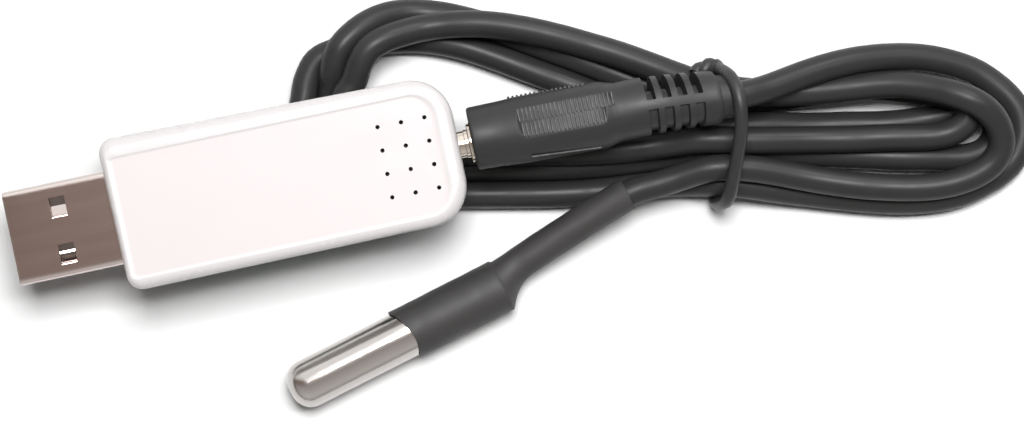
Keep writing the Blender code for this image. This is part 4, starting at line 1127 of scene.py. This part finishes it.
ring_angles = sorted([math.tau * n / 88 for n in range(88)] + [
    math.radians(middle + side * turn) for middle in (90, 270) for side in (-1, 1)
    for turn in (9.4, 10.2, 11.1, 12.0)])
edges = [place + width + shift for place in slot_places for width in (0, slot_width)
         for shift in (-0.06, -0.03, 0.0, 0.03, 0.06)]
edges += [end + sign * shift for end, sign in ((pad_start, 1), (near_pad_end, -1), (pad_end, -1))
          for shift in (-0.02, 0.02, 0.15, 0.3, pad_fade)]
stations = sorted(set(round(place, 4) for place in (
    *profile_places, *edges, *np.arange(moulding_start + 1.2, nozzle_start - 0.4, 0.45))))
bore, bore_front, bore_back = 1.9, moulding_start + 6.3, moulding_end - 1.5
moulding_rings = [
    moulding_ring(bore_front, 0.0), moulding_ring(bore_front, bore), moulding_ring(moulding_start, bore),
    *[moulding_ring(place) for place in stations],
    moulding_ring(moulding_end, bore), moulding_ring(bore_back, bore), moulding_ring(bore_back, 0.0)]
moulding = piece_from("plug_moulding_body", *loft(moulding_rings, "open"), moulding_pvc, 40)
print("stations:", len(stations), "faces:", len(moulding.data.polygons))

# %% [markdown]
# The ribs of the pad are half-round bars, half a millimetre apart, in two rows that do not quite
# line up, and the far row runs on a little further. The far side of the grip has a row of finer
# ridges, and its near side one thin straight ledge where the mould closed. The ribs and the ridges
# are one bar each, repeated by the row of copies.

# %% Ribs of the pads and ridges of the sides
def rib(name, width, height, length, axis):
    """A bar with a rounded crest, lying across the grip. Its foot is at zero."""
    ring_points = [(-width / 2, -0.5), (-width / 2, 0.45 * height), (-width / 4, 0.92 * height), (0, height),
                   (width / 4, 0.92 * height), (width / 2, 0.45 * height), (width / 2, -0.5)]
    rings = []
    for end, shrink in ((-length / 2, 0.6), (-length / 2 + 0.12, 1), (length / 2 - 0.12, 1), (length / 2, 0.6)):
        ring = []
        for along, up in ring_points:
            up = up * shrink if up > 0 else up
            ring.append(Vector((along, end, up)) if axis == "Y" else Vector((along, up, end)))
        rings.append([point * MM for point in ring])
    return piece_from(name, *loft(rings), rib_pvc_painted_sheen, 50)


rib_pitch, ridge_pitch = 0.52 * MM, 0.56 * MM
pad_rib = rib("pad_rib", 0.26, 0.20, 1.85, "Y")
side_ridge = rib("side_ridge", 0.30, 0.16, 2.2, "Z")
rows = []
for level in (1, -1):
    for side, slide, count in ((1, 0.0, 24), (-1, 0.22, 21)):
        row = copies("rib_row", pad_rib, count, (rib_pitch, 0, 0),
                     tuple(stick_line + Vector((pad_start + 0.3 + slide, side * 0.97, pad_flat - 0.02)) * MM),
                     rib_pvc_painted_sheen)
        rolled = Matrix.Rotation(-pad_roll if level > 0 else math.pi - pad_roll, 4, "X")
        row.data.transform(Matrix.Translation(stick_line) @ rolled @ Matrix.Translation(-stick_line))
        rows.append(row)
ridge_row = copies("ridge_row", side_ridge, 18, (ridge_pitch, 0, 0),
                   tuple(stick_line + Vector((grip_start + 0.9, 4.27, 0)) * MM), moulding_pvc)
# The ledge takes the ribs' lighter grey, so part of its bright line is a painted highlight.
ledge_ends = [stick_line + Vector(point) * MM for point in ((27.2, -3.34, 2.52), (36.0, -3.98, 1.60))]
ledge_line = [ledge_ends[0].lerp(ledge_ends[1], step / 12) for step in range(13)]
ledge = sweep("ledge", ledge_line, 0.14 * MM, 10, rib_pvc_painted_sheen)
for piece in (*rows, ridge_row):
    for vertex in piece.data.vertices:
        vertex.co.y += nose_lean(vertex.co.x / MM) * MM
drop(pad_rib, side_ridge)
grip_ribs = joined("plug_grip_ribs", rows[0], *rows[1:4])
grip_ridges = joined("plug_grip_ridges", ridge_row, ledge)
for piece in (moulding, grip_ribs, grip_ridges):
    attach(piece, "root")
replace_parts(moulding, "plug_moulding")
print("rib faces:", len(grip_ribs.data.polygons), "ridge faces:", len(grip_ridges.data.polygons))

# %% [markdown]
# ## The tie
#
# The tie is swept like the cord. Its two ends wind round each other for a little over a turn, so each
# is a helix round the same short line, half a turn apart, and the ring between them is the line that
# the cord settled against.

# %% Twist the ends and sweep the tie
twist_line = smooth_line([(52.6, 12.8, 8.6), (51.9, 12.9, 9.0), (50.9, 12.8, 9.1), (49.7, 12.4, 8.9)], 8)


def twisted_end(phase, turns=1.2, radius=0.44):
    """One wire of the twisted pair, from the ring outwards."""
    points = []
    for number, middle in enumerate(twist_line):
        share = number / (len(twist_line) - 1)
        angle = phase + math.tau * turns * share
        grow = min(1, 2.5 * share + 0.4)
        points.append(Vector(middle) + Vector((0.15, 0.9 * math.cos(angle), math.sin(angle))) * radius * grow)
    return points


tie_ends = [twisted_end(math.pi), twisted_end(0.0)]
tie_way = [*tie_ends[0][::-1], *[Vector(point) for point in smooth_line(tie_ring, 6)[3:-3]], *tie_ends[1]]
tie_way = [Vector(point) * MM for point in spaced(smooth_line(tie_way[::2], 4), 0.4)]
wire_tie = sweep("wire_tie", tie_way, 0.88 * MM, 18, tie_rubber)
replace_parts(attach(wire_tie, "root"), "cable_tie")
print("tie length in mm:", round(line_length(np.array([tuple(point) for point in tie_way])) / MM, 1))

# %% [markdown]
# ## The probe
#
# The probe is a drawn steel tube, closed at one end with a rounded nose, and it is spun like the jack.
# A polished tube is never quite even, so the profile has a very shallow swell near its nose.

# %% Turn the tube
tube_wall, tube_radius, nose_radius = 0.4, 3.15, 2.6


def nose_arc(radius, steps):
    """A quarter circle from the nose's flat tip to the tube's side, in millimetres."""
    start, flat = nose_radius - radius, tube_radius - nose_radius
    for step in range(steps, -1, -1):
        turn = math.pi / 2 * step / steps
        yield start + radius * (1 - math.sin(turn)), flat + radius * math.cos(turn)


probe_shell = turned("probe_shell", [
    (0, 0), *nose_arc(nose_radius, 12), (5.0, tube_radius), (9.0, 3.145), (14.0, tube_radius),
    (29.9, tube_radius), (30.0, 3.1), (30.0, 2.8), (29.9, 2.75),
    *reversed([*nose_arc(nose_radius - tube_wall, 6)]), (tube_wall, 0)], probe_steel, 96, probe_line)
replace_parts(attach(probe_shell, "root"), "probe_tube")
print("tube faces:", len(probe_shell.data.polygons))

# %% [markdown]
# The heat-shrink sleeve grips the tube, drops to the cord in a short neck, and follows the cord. It
# drops sharply on its far side and in a long slope on its near side, because the cord left the tube
# off its middle. Its surface is a loft with a rule again, with faint waves where it shrank unevenly.

# %% Loft the heat-shrink sleeve
on_tube, on_cord = 3.27, 1.93       # half widths in mm
step_start, step_length = 30.2, 0.4
slope_start, slope_length = 30.5, 4.1


def sleeve_sides(along):
    """The sleeve's far and near edges, seen from above, in mm from the tube's middle line."""
    if along < step_start:
        return on_tube, -on_tube
    step = min(1.0, (along - step_start) / step_length)
    slope = 1 - (1 - min(1.0, max(0.0, along - slope_start) / slope_length)) ** 2.4
    side = tail_side(along - step_start)
    return on_tube + step * (side + on_cord - on_tube), -on_tube + slope * (side - on_cord + on_tube)


def sleeve_start(angle):
    """Where the sleeve's first edge lies: it is bowed, and a little further on at the near side."""
    return 15.75 + 0.575 * (1 - math.cos(angle)) + 1.08 * max(0.0, math.sin(angle)) ** 1.5


sleeve_wall = 0.22


def sleeve_ring(along, wall_out, shrink=0.0):
    """One ring of the sleeve's outside (1) or inside (0)."""
    far, near = sleeve_sides(along)
    share = max(0.0, (along - 30 - neck_length / MM) * MM / tail_length)
    ring = []
    for turn in range(64):
        angle = math.tau * turn / 64
        place = max(along, sleeve_start(angle))
        wave = 0.012 * math.sin(2.1 * along + 2 * angle) + 0.012 * math.sin(0.9 * along - 3 * angle)
        out = (far - near) / 2 + wall_out * (sleeve_wall + wave) - shrink
        ring.append(probe_line @ (Vector((place, (far + near) / 2 + out * math.cos(angle),
                                          tail_height(share) + out * math.sin(angle))) * MM))
    return ring


places = [15.6, *np.arange(15.8, 17.75, 0.1), *np.arange(17.8, 29.5, 0.7), *np.arange(29.6, 34.8, 0.1),
          *np.arange(35.0, 49.6, 0.7), 50.0, 50.07, 50.1]
outer = [sleeve_ring(place, 1, 0.10 if place == 50.1 else 0.0) for place in places]
inner = [sleeve_ring(place, 0) for place in (
    50.1, 45.0, 40.0, 36.0, 34.0, 33.0, 32.0, 31.0, 30.4, 30.0, 20.0, 15.6)]
shrink_sleeve = piece_from("shrink_sleeve", *loft(outer + inner, "joined"), sleeve_shrink, 50)
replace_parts(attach(shrink_sleeve, "root"), "heat_shrink_sleeve")
print("sleeve faces:", len(shrink_sleeve.data.polygons))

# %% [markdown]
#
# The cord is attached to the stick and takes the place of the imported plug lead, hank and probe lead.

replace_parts(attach(probe_cord, "root"), "cord_plug_lead", "cord_hank", "cord_probe_lead")
tuple(cord_points[0])
[tuple(point) for point in cord_points]
